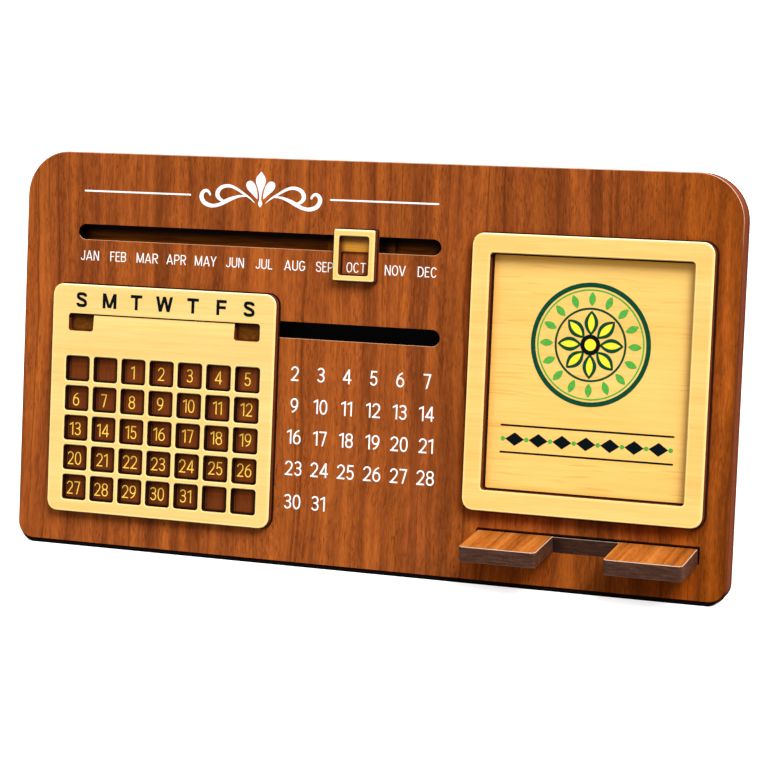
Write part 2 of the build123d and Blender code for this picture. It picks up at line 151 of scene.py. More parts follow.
class Mat:
    """Small wrapper that builds a node material."""

    def __init__(self, name):
        self.m = bpy.data.materials.new(name)
        self.m.use_nodes = True
        self.t = self.m.node_tree
        self.t.nodes.clear()
        self.out = self.t.nodes.new("ShaderNodeOutputMaterial")
        self.b = self.t.nodes.new("ShaderNodeBsdfPrincipled")
        self.t.links.new(self.b.outputs[0], self.out.inputs[0])

    def link(self, a, b):
        self.t.links.new(a, b)

    def val(self, sock, v):
        if hasattr(v, "is_linked") or isinstance(v, bpy.types.NodeSocket):
            self.link(v, sock)
        else:
            sock.default_value = v

    def obj(self):
        n = self.t.nodes.new("ShaderNodeTexCoord")
        return n.outputs["Object"]

    def objnormal(self):
        n = self.t.nodes.new("ShaderNodeTexCoord")
        return n.outputs["Normal"]

    def board(self):
        """Object position in board axes and millimetres: (x, depth, up the board)."""
        n = self.t.nodes.new("ShaderNodeMapping")
        n.vector_type = "POINT"
        n.inputs["Scale"].default_value = (1000, 1000, 1000)
        n.inputs["Rotation"].default_value = (LEAN, 0, 0)
        # rotate (Y0, Z0) by the lean and subtract it
        oy = Y0 * CL - Z0 * SL
        oz = Y0 * SL + Z0 * CL
        n.inputs["Location"].default_value = (0, -oy, -oz)
        self.link(self.obj(), n.inputs["Vector"])
        return n.outputs[0]

    def mm(self):
        n = self.t.nodes.new("ShaderNodeVectorMath")
        n.operation = "SCALE"
        n.inputs["Scale"].default_value = 1000.0
        self.link(self.obj(), n.inputs[0])
        return n.outputs[0]

    def vmul(self, v, s, off=(0, 0, 0)):
        n = self.t.nodes.new("ShaderNodeVectorMath")
        n.operation = "MULTIPLY_ADD"
        self.link(v, n.inputs[0])
        n.inputs[1].default_value = s
        n.inputs[2].default_value = off
        return n.outputs[0]

    def vadd(self, a, b):
        n = self.t.nodes.new("ShaderNodeVectorMath")
        n.operation = "ADD"
        self.val(n.inputs[0], a)
        self.val(n.inputs[1], b)
        return n.outputs[0]

    def noise(self, v, scale=1.0, detail=2.0, rough=0.5, dist=0.0, color=False):
        n = self.t.nodes.new("ShaderNodeTexNoise")
        n.noise_dimensions = "3D"
        self.link(v, n.inputs["Vector"])
        n.inputs["Scale"].default_value = scale
        n.inputs["Detail"].default_value = detail
        n.inputs["Roughness"].default_value = rough
        n.inputs["Distortion"].default_value = dist
        return n.outputs["Color" if color else 0]

    def ramp(self, f, stops, interp="LINEAR"):
        n = self.t.nodes.new("ShaderNodeValToRGB")
        cr = n.color_ramp
        cr.interpolation = interp
        while len(cr.elements) < len(stops):
            cr.elements.new(0.5)
        for e, (p, c) in zip(cr.elements, stops):
            e.position = p
            e.color = c if len(c) == 4 else (*c, 1)
        self.link(f, n.inputs[0])
        return n.outputs[0]

    def maprange(self, f, a, b, c=0.0, d=1.0, smooth=True):
        n = self.t.nodes.new("ShaderNodeMapRange")
        n.interpolation_type = "SMOOTHSTEP" if smooth else "LINEAR"
        n.clamp = True if not smooth else n.clamp
        self.link(f, n.inputs[0])
        for i, x in zip((1, 2, 3, 4), (a, b, c, d)):
            n.inputs[i].default_value = x
        return n.outputs[0]

    def mix(self, fac, a, b, mode="MIX"):
        n = self.t.nodes.new("ShaderNodeMix")
        n.data_type = "RGBA"
        n.blend_type = mode
        n.clamp_factor = True
        self.val(n.inputs[0], fac)
        self.val(n.inputs[6], a)
        self.val(n.inputs[7], b)
        return n.outputs[2]

    def grey(self, f):
        """A factor as a grey colour."""
        n = self.t.nodes.new("ShaderNodeCombineXYZ")
        for i in range(3):
            self.link(f, n.inputs[i])
        return n.outputs[0]

    def math(self, op, a, b=0.0, c=None):
        n = self.t.nodes.new("ShaderNodeMath")
        n.operation = op
        self.val(n.inputs[0], a)
        self.val(n.inputs[1], b)
        if c is not None:
            self.val(n.inputs[2], c)
        return n.outputs[0]

    def dot(self, v, d):
        n = self.t.nodes.new("ShaderNodeVectorMath")
        n.operation = "DOT_PRODUCT"
        self.link(v, n.inputs[0])
        n.inputs[1].default_value = d
        return n.outputs["Value"]

    def sep(self, v):
        n = self.t.nodes.new("ShaderNodeSeparateXYZ")
        self.link(v, n.inputs[0])
        return n.outputs

    def bump(self, h, strength=0.2, dist=0.0001):
        n = self.t.nodes.new("ShaderNodeBump")
        n.inputs["Strength"].default_value = strength
        n.inputs["Distance"].default_value = dist
        self.link(h, n.inputs["Height"])
        self.link(n.outputs[0], self.b.inputs["Normal"])

    def set(self, **kw):
        names = {"color": "Base Color", "rough": "Roughness", "metal": "Metallic", "coat": "Coat Weight",
                 "coat_rough": "Coat Roughness", "spec": "Specular IOR Level"}
        for k, v in kw.items():
            self.val(self.b.inputs[names[k]], v)


FRONT_N = (0.0, -CL, SL)      # outward normal of the board face


WALNUT = ((109, 53, 22), (129, 64, 27), (147, 74, 31), (163, 84, 34), (180, 96, 37))
DARK_WALNUT = ((60, 30, 12), (86, 44, 18), (112, 58, 24), (134, 72, 32), (156, 88, 42))
LIGHT_WALNUT = ((126, 64, 21), (152, 81, 27), (174, 95, 33), (190, 110, 42), (203, 127, 57))


def walnut_colour(m, p, seed=0.0, pal=WALNUT, pore=(78, 36, 13), width=1.0, off=None,
                  off_b=(0, 0, 0), off_m=(0, 0, 0)):
    """Streaky walnut colour. p: coordinates in mm, grain along the third axis."""
    q = m.vmul(p, (1 / width, 1, 1), off or (seed * 13.1, seed * 7.7, seed * 31.3))
    # the grain lines wander: slow over the sheet, small and quick along the grain
    slow = m.noise(m.vmul(q, (1 / 30, 1 / 30, 1 / 75)), 1.0, 2.0, 0.5)
    quick = m.noise(m.vmul(q, (1 / 6, 1 / 6, 1 / 15), (4.0, 2.0, 9.0)), 1.0, 2.0, 0.5)
    drift = m.math("ADD", m.math("MULTIPLY", m.math("SUBTRACT", slow, 0.5), 9.0),
                   m.math("MULTIPLY", m.math("SUBTRACT", quick, 0.5), 0.9))
    comb = m.t.nodes.new("ShaderNodeCombineXYZ")
    m.link(drift, comb.inputs[0])
    q = m.vadd(q, comb.outputs[0])
    broad = m.noise(m.vmul(q, (1 / 7.0, 1 / 40, 1 / 210), off_b), 1.0, 2.0, 0.5)
    mid = m.noise(m.vmul(q, (1 / 2.3, 1 / 12, 1 / 80), off_m), 1.0, 2.5, 0.6)
    mott = m.noise(m.vmul(q, (1 / 2.6, 1 / 3.2, 1 / 9)), 1.0, 2.0, 0.55)
    fine = m.noise(m.vmul(q, (1 / 0.46, 1 / 2.0, 1 / 3.2)), 1.0, 2.0, 0.6)
    f = m.math("ADD", m.math("MULTIPLY", broad, 0.56), m.math("MULTIPLY", mid, 0.36))
    f = m.math("ADD", f, m.math("MULTIPLY", m.math("SUBTRACT", mott, 0.5), 0.12))
    f = m.math("ADD", f, m.math("MULTIPLY", m.math("SUBTRACT", fine, 0.5), 0.30))
    f = m.math("ADD", f, 0.042)
    col = m.ramp(f, [(a, srgb(*c)) for a, c in zip((0.35, 0.43, 0.50, 0.57, 0.66), pal)])
    # a few narrow dark growth lines that run the whole length
    line = m.noise(m.vmul(q, (1 / 1.7, 1 / 30, 1 / 420), (6.4, 0, 3.3)), 1.0, 1.0, 0.5)
    col = m.mix(m.math("MULTIPLY", m.maprange(line, 0.62, 0.72), 0.55), col, srgb(*[int(c * 0.82) for c in pal[0]]))
    # pores: short dark dashes, gathered in bands
    pv = m.noise(m.vmul(q, (1 / 0.42, 1 / 1.2, 1 / 2.6), (3.1, 0, 9.7)), 1.0, 1.0, 0.5)
    band = m.noise(m.vmul(q, (1 / 5.0, 1 / 9, 1 / 40), (8.2, 0, 1.7)), 1.0, 1.0, 0.5)
    pores = m.math("MULTIPLY", m.maprange(pv, 0.585, 0.68), m.maprange(band, 0.30, 0.58))
    col = m.mix(m.math("MULTIPLY", pores, 0.52), col, srgb(*pore))
    return col, f, pores


def burnt(m, p, c1, c2, c3, along=(1 / 26, 1 / 0.22, 1 / 26)):
    """Laser-cut edge: dark brown with thin lines parallel to the sheet."""
    a = m.noise(m.vmul(p, along), 1.0, 3.0, 0.6)
    b = m.noise(m.vmul(p, (1 / 1.5, 1 / 0.6, 1 / 1.5)), 1.0, 2.0, 0.6)
    f = m.math("ADD", m.math("MULTIPLY", a, 0.7), m.math("MULTIPLY", b, 0.3))
    return m.ramp(f, [(0.32, c1), (0.5, c2), (0.68, c3)]), f


def face_mask(m, n, lo=0.80, hi=0.95):
    return m.maprange(m.dot(m.objnormal(), n), lo, hi)


def band_mask(m, n, a, b, c, d):
    """1 where the normal's component along n is between b and c."""
    v = m.dot(m.objnormal(), n)
    return m.math("MULTIPLY", m.maprange(v, a, b), m.math("SUBTRACT", 1.0, m.maprange(v, c, d)))


def soft_box(m, x, v, x0, x1, v0, v1, r):
    """1 inside a rectangle of the board plane, falling to 0 at the distance r outside it."""
    cx, cv, hx, hv = (x0 + x1) / 2, (v0 + v1) / 2, (x1 - x0) / 2, (v1 - v0) / 2
    dx = m.math("MAXIMUM", m.math("SUBTRACT", m.math("ABSOLUTE", m.math("SUBTRACT", x, cx)), hx), 0.0)
    dv = m.math("MAXIMUM", m.math("SUBTRACT", m.math("ABSOLUTE", m.math("SUBTRACT", v, cv)), hv), 0.0)
    d = m.math("SQRT", m.math("ADD", m.math("MULTIPLY", dx, dx), m.math("MULTIPLY", dv, dv)))
    return m.math("SUBTRACT", 1.0, m.maprange(d, 0.0, r))


def rbox(m, x, v, x0, x1, v0, v1, r):
    """Signed distance to a rounded rectangle of the board plane, negative inside."""
    cx, cv, hx, hv = (x0 + x1) / 2, (v0 + v1) / 2, (x1 - x0) / 2, (v1 - v0) / 2
    qx = m.math("SUBTRACT", m.math("ABSOLUTE", m.math("SUBTRACT", x, cx)), hx - r)
    qv = m.math("SUBTRACT", m.math("ABSOLUTE", m.math("SUBTRACT", v, cv)), hv - r)
    ax, av = m.math("MAXIMUM", qx, 0.0), m.math("MAXIMUM", qv, 0.0)
    d = m.math("SQRT", m.math("ADD", m.math("MULTIPLY", ax, ax), m.math("MULTIPLY", av, av)))
    return m.math("SUBTRACT", m.math("ADD", d, m.math("MINIMUM", m.math("MAXIMUM", qx, qv), 0.0)), r)


def near(m, d, r):
    """1 where the distance d is 0 or less, falling to 0 at r."""
    return m.math("SUBTRACT", 1.0, m.maprange(d, 0.0, r))


def stripe(m, d, a, b, s=0.12):
    """1 where the distance d lies between a and b."""
    return m.math("MULTIPLY", m.maprange(d, a - s, a + s), m.math("SUBTRACT", 1.0, m.maprange(d, b - s, b + s)))


def cell_coords(m, x, v):
    """Position within the squares of the day grid, from the middle of each."""
    cu = m.math("SUBTRACT", m.math("FLOORED_MODULO", m.math("ADD", x, 103.8 + 5.36), 10.72), 5.36)
    cv = m.math("SUBTRACT", m.math("FLOORED_MODULO", m.math("ADD", v, 6.6 + 10.33 * 9 + 5.165), 10.33), 5.165)
    return cu, cv


def slot_floor(m, p):
    """Stained brown floor of the month slot, with painted shade under the upper lip and at both ends."""
    x, v = m.sep(p)[0], m.sep(p)[2]
    g = m.noise(m.vmul(p, (1 / 14, 1 / 3, 1 / 0.9)), 1.0, 3.0, 0.6)
    col = m.ramp(g, [(0.35, srgb(84, 36, 2)), (0.65, srgb(120, 62, 8))])
    # painted shade under the upper lip and at both ends of the slot
    shade_factor = m.math("MULTIPLY", m.maprange(v, 42.2, 39.6, 0.06, 1.0),
                m.math("MULTIPLY", m.maprange(x, -108.0, -103.0, 0.04, 1.0), m.maprange(x, 24.4, 21.6, 0.12, 1.0)))
    return m.mix(1.0, col, m.grey(shade_factor), "MULTIPLY")


def box_mask(m, x, v, x0, x1, v0, v1, s=0.3):
    """1 inside a rectangle of the board plane, soft over s mm inside its border."""
    a = m.math("MULTIPLY", m.maprange(x, x0, x0 + s), m.math("SUBTRACT", 1.0, m.maprange(x, x1 - s, x1)))
    b = m.math("MULTIPLY", m.maprange(v, v0, v0 + s), m.math("SUBTRACT", 1.0, m.maprange(v, v1 - s, v1)))
    return m.math("MULTIPLY", a, b)


GRAIN = (-99.7, 20.7, 616.9)      # place in the endless grain pattern that the board is cut from
GRAIN_B, GRAIN_M = (12.03, -1.25, 52.62), (55.37, 20.41, -27.01)
EDGE_TONES = (srgb(110, 52, 31), srgb(137, 70, 43), srgb(160, 87, 58))


def painted_underside_shade(m):
    """1 where the surface faces down the board: there painted shade makes the lower edge near black."""
    return m.maprange(m.dot(m.objnormal(), (0, SL, CL)), -0.30, -0.85)


# growth bands of the grain; two of them are painted shade beside the picture frame
GRAIN_BANDS_AND_SHADE = ((-104.0, -96.0, 18.0, 90.0, 1.24), (25.5, 34.5, -90.0, 28.0, 0.78), (16.0, 25.0, -60.0, 26.0, 1.24),
         (57.5, 66.0, 44.0, 90.0, 0.80), (8.5, 17.0, 36.0, 90.0, 0.82), (118.5, 125.2, -10.0, 46.0, 1.38),
         (-7.0, 2.5, -12.0, 24.0, 1.20), (-140.0, -120.0, 40.0, 90.0, 0.88), (-62.0, -54.0, 36.0, 90.0, 0.88),
         (42.0, 50.0, 46.0, 90.0, 0.86), (19.5, 26.5, -90.0, -20.0, 1.32), (12.0, 17.5, -90.0, -18.0, 0.76),
         (113.5, 121.5, 48.0, 90.0, 1.20), (31.5, 37.0, -52.0, -8.0, 0.86))


def mat_board_front():
    m = Mat("walnut_board")
    p = m.board()
    col, f, pores = walnut_colour(m, p, off=GRAIN, off_b=GRAIN_B, off_m=GRAIN_M)
    x, d, v = m.sep(p)[0], m.sep(p)[1], m.sep(p)[2]
    # broad lighter and darker growth bands, which wander a little; the two at x 25.5 to 34.5 and 31.5 to 37.0 are
    # painted shade left of the picture frame
    wander = m.noise(m.vmul(p, (0, 0, 1 / 22)), 1.0, 1.0, 0.5)
    xw = m.math("ADD", x, m.math("MULTIPLY", m.math("SUBTRACT", wander, 0.5), 5.0))
    for x0, x1, v0, v1, k in GRAIN_BANDS_AND_SHADE:
        bx = m.math("MULTIPLY", m.maprange(xw, x0 - 3.0, x0 + 3.0), m.math("SUBTRACT", 1.0, m.maprange(xw, x1 - 3.0, x1 + 3.0)))
        bv = m.math("MULTIPLY", m.maprange(v, v0 - 8.0, v0 + 8.0), m.math("SUBTRACT", 1.0, m.maprange(v, v1 - 8.0, v1 + 8.0)))
        col = m.mix(m.math("MULTIPLY", bx, bv), col, m.mix(1.0, col, (k, k, k, 1), "MULTIPLY"))
    col = m.mix(m.maprange(x, 72.0, 124.0), col, m.mix(1.0, col, (1.10, 1.06, 0.62, 1), "MULTIPLY"))
    # painted shade: darker and less blue below the picture frame, around the ledges
    low = m.math("MULTIPLY", m.maprange(v, -42.0, -56.0), m.maprange(x, 30.0, 46.0))
    col = m.mix(low, col, m.mix(1.0, col, (0.90, 0.88, 0.62, 1), "MULTIPLY"))
    # painted shade around the picture frame and under the rest plate, standing in for their soft shadows on the board
    painted_frame_shade = m.math("SUBTRACT", 1.0, m.math("MULTIPLY", 0.26, near(m, rbox(m, x, v, 38.3, 116.8, -45.0, 44.6, 4.0), 4.4)))
    painted_frame_shade = m.math("MULTIPLY", painted_frame_shade, m.math("SUBTRACT", 1.0, m.math("MULTIPLY", 0.72, near(m, rbox(m, x, v, 37.9, 118.9, -44.2, 45.9, 4.2), 0.9))))
    under = m.math("SUBTRACT", 1.0, m.math("MULTIPLY", 0.16, m.math("ADD", soft_box(m, x, v, 41.0, 66.0, -66.0, -56.5, 6.5),
                                                                  soft_box(m, x, v, 89.5, 114.5, -66.0, -56.5, 6.5))))
    shade = m.math("MULTIPLY", painted_frame_shade, under)
    tone = m.t.nodes.new("ShaderNodeCombineXYZ")
    m.link(shade, tone.inputs[0])
    m.link(m.math("MULTIPLY", shade, m.math("ADD", 0.15, m.math("MULTIPLY", shade, 0.85))), tone.inputs[1])
    m.link(m.math("MULTIPLY", shade, shade), tone.inputs[2])
    col = m.mix(1.0, col, tone.outputs[0], "MULTIPLY")
    # the field behind the day grid is stained darker, so that its gold numbers stand out
    inx = m.math("MULTIPLY", m.maprange(x, -109.6, -109.2), m.math("SUBTRACT", 1.0, m.maprange(x, -34.4, -34.0)))
    inv = m.math("MULTIPLY", m.maprange(v, -53.4, -53.0), m.math("SUBTRACT", 1.0, m.maprange(v, -1.7, -1.3)))
    field = m.math("MULTIPLY", inx, inv)
    field_stain_and_shade = m.mix(0.66, m.mix(1.0, col, (0.66, 0.63, 0.68, 1), "MULTIPLY"), srgb(121, 59, 26))
    # painted shade: it darkens towards the border of each square of the grid; it is also darker towards the bottom, and
    # painted light lifts the upper part and right side of each square
    cu, cv = cell_coords(m, x, v)
    cell_shade_vignette = m.math("MULTIPLY", m.math("MULTIPLY", m.maprange(cu, -4.9, -3.4), m.math("SUBTRACT", 1.0, m.maprange(cu, 1.1, 3.1))),
                m.math("MULTIPLY", m.maprange(cv, -4.5, -3.3), m.math("SUBTRACT", 1.0, m.maprange(cv, 2.8, 4.4))))
    field_stain_and_shade = m.mix(m.maprange(v, -8.0, -44.0), field_stain_and_shade, m.mix(1.0, field_stain_and_shade, (0.80, 0.80, 0.80, 1), "MULTIPLY"))
    field_stain_and_shade = m.mix(m.maprange(cv, 0.4, 2.2), field_stain_and_shade, m.mix(1.0, field_stain_and_shade, (1.62, 1.6, 1.5, 1), "MULTIPLY"))
    field_stain_and_shade = m.mix(m.maprange(cu, 0.6, 2.6), field_stain_and_shade, m.mix(1.0, field_stain_and_shade, (1.28, 1.28, 1.28, 1), "MULTIPLY"))
    field_stain_and_shade = m.mix(m.math("MULTIPLY", m.math("SUBTRACT", 1.0, cell_shade_vignette), 0.84), field_stain_and_shade, srgb(20, 7, 2))
    col = m.mix(field, col, field_stain_and_shade)
    edge, ef = burnt(m, p, *EDGE_TONES)
    # painted shade: surfaces that face down the board are near black
    edge = m.mix(painted_underside_shade(m), edge, srgb(14, 5, 2))
    # the walls of the slots are painted near black as shade, the outer edge is clean
    slots = box_mask(m, x, v, -112.0, 112.0, -20.0, 52.0, 1.0)
    edge = m.mix(slots, edge, srgb(14, 6, 3))
    face = face_mask(m, FRONT_N)
    col = m.mix(face, edge, col)
    # painted shadow: a near-black line in the gap where the rest plate passes through
    gap_shadow_mask = m.math("MAXIMUM", box_mask(m, x, v, 43.3, 117.9, -50.45, -49.8, 0.12), box_mask(m, x, v, 117.35, 117.95, -55.4, -49.8, 0.12))
    col = m.mix(m.math("MULTIPLY", gap_shadow_mask, 0.92), col, srgb(10, 4, 2))
    # painted highlight on the upper and right outer arris and along the lower lips of the slots
    arris = band_mask(m, FRONT_N, 0.50, 0.62, 0.82, 0.92)
    nu = m.dot(m.objnormal(), (0, SL, CL))
    nx = m.dot(m.objnormal(), (1, 0, 0))
    outer = m.math("MAXIMUM", m.maprange(nu, 0.05, 0.30), m.math("MULTIPLY", m.maprange(nx, 0.2, 0.4), m.maprange(v, 34, 60, 0.03, 0.60)))
    outer = m.math("MULTIPLY", outer, m.math("SUBTRACT", 1.0, m.maprange(d, 0.10, 0.16)))
    lips = m.math("MULTIPLY", m.maprange(nu, 0.20, 0.50), 0.60)
    col = m.mix(m.math("MULTIPLY", m.math("MULTIPLY", arris, outer), m.math("SUBTRACT", 0.80, m.math("MULTIPLY", slots, 0.80))),
                col, srgb(244, 214, 196))
    col = m.mix(m.math("MULTIPLY", m.math("MULTIPLY", arris, lips), slots), col, srgb(236, 176, 132))
    # painted shade on the right arris below its upper part
    right = m.math("MULTIPLY", m.maprange(nx, 0.3, 0.55), m.math("SUBTRACT", 1.0, m.maprange(v, 36.0, 54.0)))
    col = m.mix(m.math("MULTIPLY", m.math("MULTIPLY", arris, right), m.math("SUBTRACT", 0.85, m.math("MULTIPLY", slots, 0.85))),
                col, srgb(88, 44, 30))
    # painted shade on the arrises that face down
    dark = m.math("MULTIPLY", arris, m.math("MAXIMUM", m.maprange(m.math("MULTIPLY", nu, -1.0), 0.1, 0.35), 0.0))
    col = m.mix(m.math("MULTIPLY", dark, 0.85), col, srgb(30, 12, 6))
    m.set(color=col, rough=m.maprange(f, 0.35, 0.65, 0.54, 0.42, smooth=False), spec=0.0)
    h = m.math("SUBTRACT", m.math("MULTIPLY", f, 0.5), m.math("MULTIPLY", pores, 1.0))
    m.bump(h, 0.25, 0.00012)
    return m.m


def mat_edge_only(name):
    m = Mat(name)
    p = m.board()
    col, f = burnt(m, p, *EDGE_TONES)
    # painted shade: surfaces that face down the board are near black
    col = m.mix(painted_underside_shade(m), col, srgb(14, 5, 2))
    m.set(color=col, rough=0.8, spec=0.0)
    m.bump(f, 0.3, 0.0001)
    return m.m


def mat_back():
    """Rear sheet: plain walnut veneer outside; inside, where the slots show it, painted shade: near black behind the
    date slot, the month slot's shaded floor behind the month slot.
    """
    m = Mat("walnut_back")
    p = m.board()
    col, f, pores = walnut_colour(m, p, seed=3.0)
    edge, ef = burnt(m, p, *EDGE_TONES)
    # painted shade: surfaces that face down the board are near black
    edge = m.mix(painted_underside_shade(m), edge, srgb(14, 5, 2))
    face = face_mask(m, tuple(-x for x in FRONT_N))
    inside = face_mask(m, FRONT_N)
    v = m.sep(p)[2]
    g = m.noise(m.vmul(p, (1 / 9, 1 / 3, 1 / 0.8)), 1.0, 3.0, 0.6)
    # painted shade on the inner face, seen through the slots
    slot_shade_colour = m.mix(m.maprange(v, 24.0, 26.0), m.ramp(g, [(0.35, srgb(4, 3, 3)), (0.65, srgb(9, 6, 6))]), slot_floor(m, p))
    col = m.mix(face, edge, col)
    col = m.mix(inside, col, slot_shade_colour)
    m.set(color=col, rough=0.6, spec=0.03)
    h = m.math("SUBTRACT", m.math("MULTIPLY", f, 0.5), pores)
    m.bump(h, 0.25, 0.00012)
    return m.m


def mat_stand(name, axis, seed):
    """Legs and brace: walnut on the broad faces, burnt on the cut edges. axis: normal of the broad faces."""
    m = Mat(name)
    p = m.mm()
    # grain along Z on legs, along X on the brace
    if axis == "X":
        q = m.t.nodes.new("ShaderNodeMapping")
        m.link(p, q.inputs[0])
        q.inputs["Rotation"].default_value = (0, 0, radians(90))
        pc = q.outputs[0]
        n = (1, 0, 0)
    else:
        q = m.t.nodes.new("ShaderNodeMapping")
        m.link(p, q.inputs[0])
        q.inputs["Rotation"].default_value = (0, radians(90), 0)
        pc = q.outputs[0]
        n = (0, 1, 0)
    col, f, pores = walnut_colour(m, pc, seed=seed)
    e1 = m.noise(m.vmul(p, (1 / 0.25, 1 / 20, 1 / 20) if axis == "X" else (1 / 20, 1 / 0.25, 1 / 20)), 1.0, 3.0, 0.6)
    edge = m.ramp(e1, [(0.3, srgb(66, 36, 26)), (0.5, srgb(96, 54, 38)), (0.7, srgb(122, 74, 54))])
    v = m.math("ABSOLUTE", m.dot(m.objnormal(), n))
    face = m.maprange(v, 0.82, 0.95)
    col = m.mix(face, edge, col)
    m.set(color=col, rough=0.5, spec=0.2)
    m.bump(m.math("SUBTRACT", m.math("MULTIPLY", f, 0.5), pores), 0.2, 0.0001)
    return m.m


def maple_colour(m, p, pal, dash=(226, 178, 92), dash_amount=0.45):
    q = p
    a = m.noise(m.vmul(q, (1 / 60, 1 / 10, 1 / 1.8)), 1.0, 3.0, 0.55, 0.1)
    b = m.noise(m.vmul(q, (1 / 10, 1 / 4, 1 / 0.40)), 1.0, 2.0, 0.6)
    c = m.noise(m.vmul(q, (1 / 60, 1 / 40, 1 / 12)), 1.0, 2.0, 0.5)
    f = m.math("ADD", m.math("MULTIPLY", a, 0.42), m.math("ADD", m.math("MULTIPLY", b, 0.26), m.math("MULTIPLY", c, 0.32)))
    col = m.ramp(f, [(0.36, srgb(*pal[0])), (0.5, srgb(*pal[1])), (0.64, srgb(*pal[2]))])
    # sparse thin darker dashes along the grain
    wav = m.noise(m.vmul(q, (1 / 22.0, 1 / 10, 1 / 30)), 1.0, 1.0, 0.5)
    comb = m.t.nodes.new("ShaderNodeCombineXYZ")
    m.link(m.math("MULTIPLY", m.math("SUBTRACT", wav, 0.5), 3.0), comb.inputs[2])
    qd = m.vadd(q, comb.outputs[0])
    d = m.noise(m.vmul(qd, (1 / 16.0, 1 / 2, 1 / 0.55), (5.0, 0, 2.0)), 1.0, 0.0, 0.5)
    e = m.noise(m.vmul(q, (1 / 30.0, 1 / 20, 1 / 8), (1.0, 0, 7.0)), 1.0, 1.0, 0.5)
    dash_f = m.math("MULTIPLY", m.maprange(d, 0.66, 0.76), m.maprange(e, 0.40, 0.58))
    col = m.mix(m.math("MULTIPLY", dash_f, dash_amount), col, srgb(*dash))
    return col, f


MAPLE = ((230, 185, 98), (238, 195, 110), (246, 206, 124))
MAPLE_PALE = ((232, 190, 110), (240, 200, 121), (247, 209, 134))
PANEL = ((240, 188, 96), (246, 196, 105), (251, 204, 115))
GOLDEN = ((172, 104, 22), (192, 124, 32), (212, 150, 50))


def mat_maple(name, pal=MAPLE, edge=((84, 34, 14), (114, 50, 24), (140, 68, 36)), dash=(228, 180, 90), amount=0.35,
              outer=None, opening=None, inner=(), cells=False):
    """Maple sheet with burnt edges. outer and opening: rounded rectangles (x0, x1, v0, v1, r) of its outline and
    opening;
    inner: rectangles within which the edges are painted darker still, as shade, each with its factor; cells: it carries
    the day grid."""
    m = Mat(name)
    p = m.board()
    x, v = m.sep(p)[0], m.sep(p)[2]
    nx, nu = m.dot(m.objnormal(), (1, 0, 0)), m.dot(m.objnormal(), (0, SL, CL))
    col, f = maple_colour(m, p, pal, dash, amount)
    # painted highlight: thin pale lines along the borders of the face, its opening and the squares of the grid
    pale = srgb(255, 240, 168)
    d = m.math("MULTIPLY", rbox(m, x, v, *outer), -1.0)
    col = m.mix(m.math("MULTIPLY", stripe(m, d, 0.0, 0.75, 0.15), 0.32), col, pale)
    if opening:
        col = m.mix(m.math("MULTIPLY", stripe(m, rbox(m, x, v, *opening), 0.0, 0.65, 0.15), 0.24), col, pale)
    if cells:
        cu, cv = cell_coords(m, x, v)
        grid = box_mask(m, x, v, -109.4, -33.9, -53.2, -1.5, 0.2)
        line = m.math("MULTIPLY", stripe(m, rbox(m, cu, cv, -4.6, 4.6, -4.35, 4.35, 1.0), 0.0, 0.48, 0.12), grid)
        col = m.mix(m.math("MULTIPLY", line, 0.48), col, pale)
    # and a white painted highlight along the upper side
    col = m.mix(m.math("MULTIPLY", m.maprange(v, outer[3] - 0.50, outer[3] - 0.30), 0.70), col, srgb(255, 250, 228))
    ed, ef = burnt(m, p, *[srgb(*c) for c in edge])
    # painted shade: the edges within the inner rectangles are darker
    for (x0, x1, v0, v1, k) in inner:
        ed = m.mix(box_mask(m, x, v, x0, x1, v0, v1, 0.3), ed, m.mix(1.0, ed, (k, k * 0.92, k * 0.84, 1), "MULTIPLY"))
    face = face_mask(m, FRONT_N, 0.55, 0.62)
    col = m.mix(face, ed, col)
    # painted highlight on the arris, with a white painted glint towards the upper right
    ar = band_mask(m, FRONT_N, 0.56, 0.64, 0.84, 0.93)
    rim = m.math("SUBTRACT", 1.0, m.maprange(d, 0.7, 1.0))
    glint = m.math("MULTIPLY", m.math("MULTIPLY", m.maprange(nu, 0.15, 0.5), m.maprange(nx, -0.2, 0.35)), rim)
    col = m.mix(m.math("MULTIPLY", ar, m.math("ADD", 0.45, m.math("MULTIPLY", rim, 0.35))), col,
                m.mix(glint, m.mix(rim, srgb(214, 186, 118), srgb(236, 216, 142)), srgb(255, 254, 248)))
    # painted shade: the left outer arris and the lower one are dark
    low = m.math("MULTIPLY", m.math("SUBTRACT", 1.0, m.maprange(v, outer[2] + 0.4, outer[2] + 0.7)), m.maprange(nu, -0.2, -0.5))
    left = m.math("MULTIPLY", m.math("SUBTRACT", 1.0, m.maprange(x, outer[0] + 0.4, outer[0] + 0.9)), m.maprange(nx, -0.25, -0.5))
    col = m.mix(m.math("MULTIPLY", ar, m.math("MAXIMUM", left, m.math("MULTIPLY", low, 0.7))), col, srgb(28, 12, 5))
    m.set(color=col, rough=0.48, spec=0.10)
    m.bump(f, 0.15, 0.0001)
    return m.m


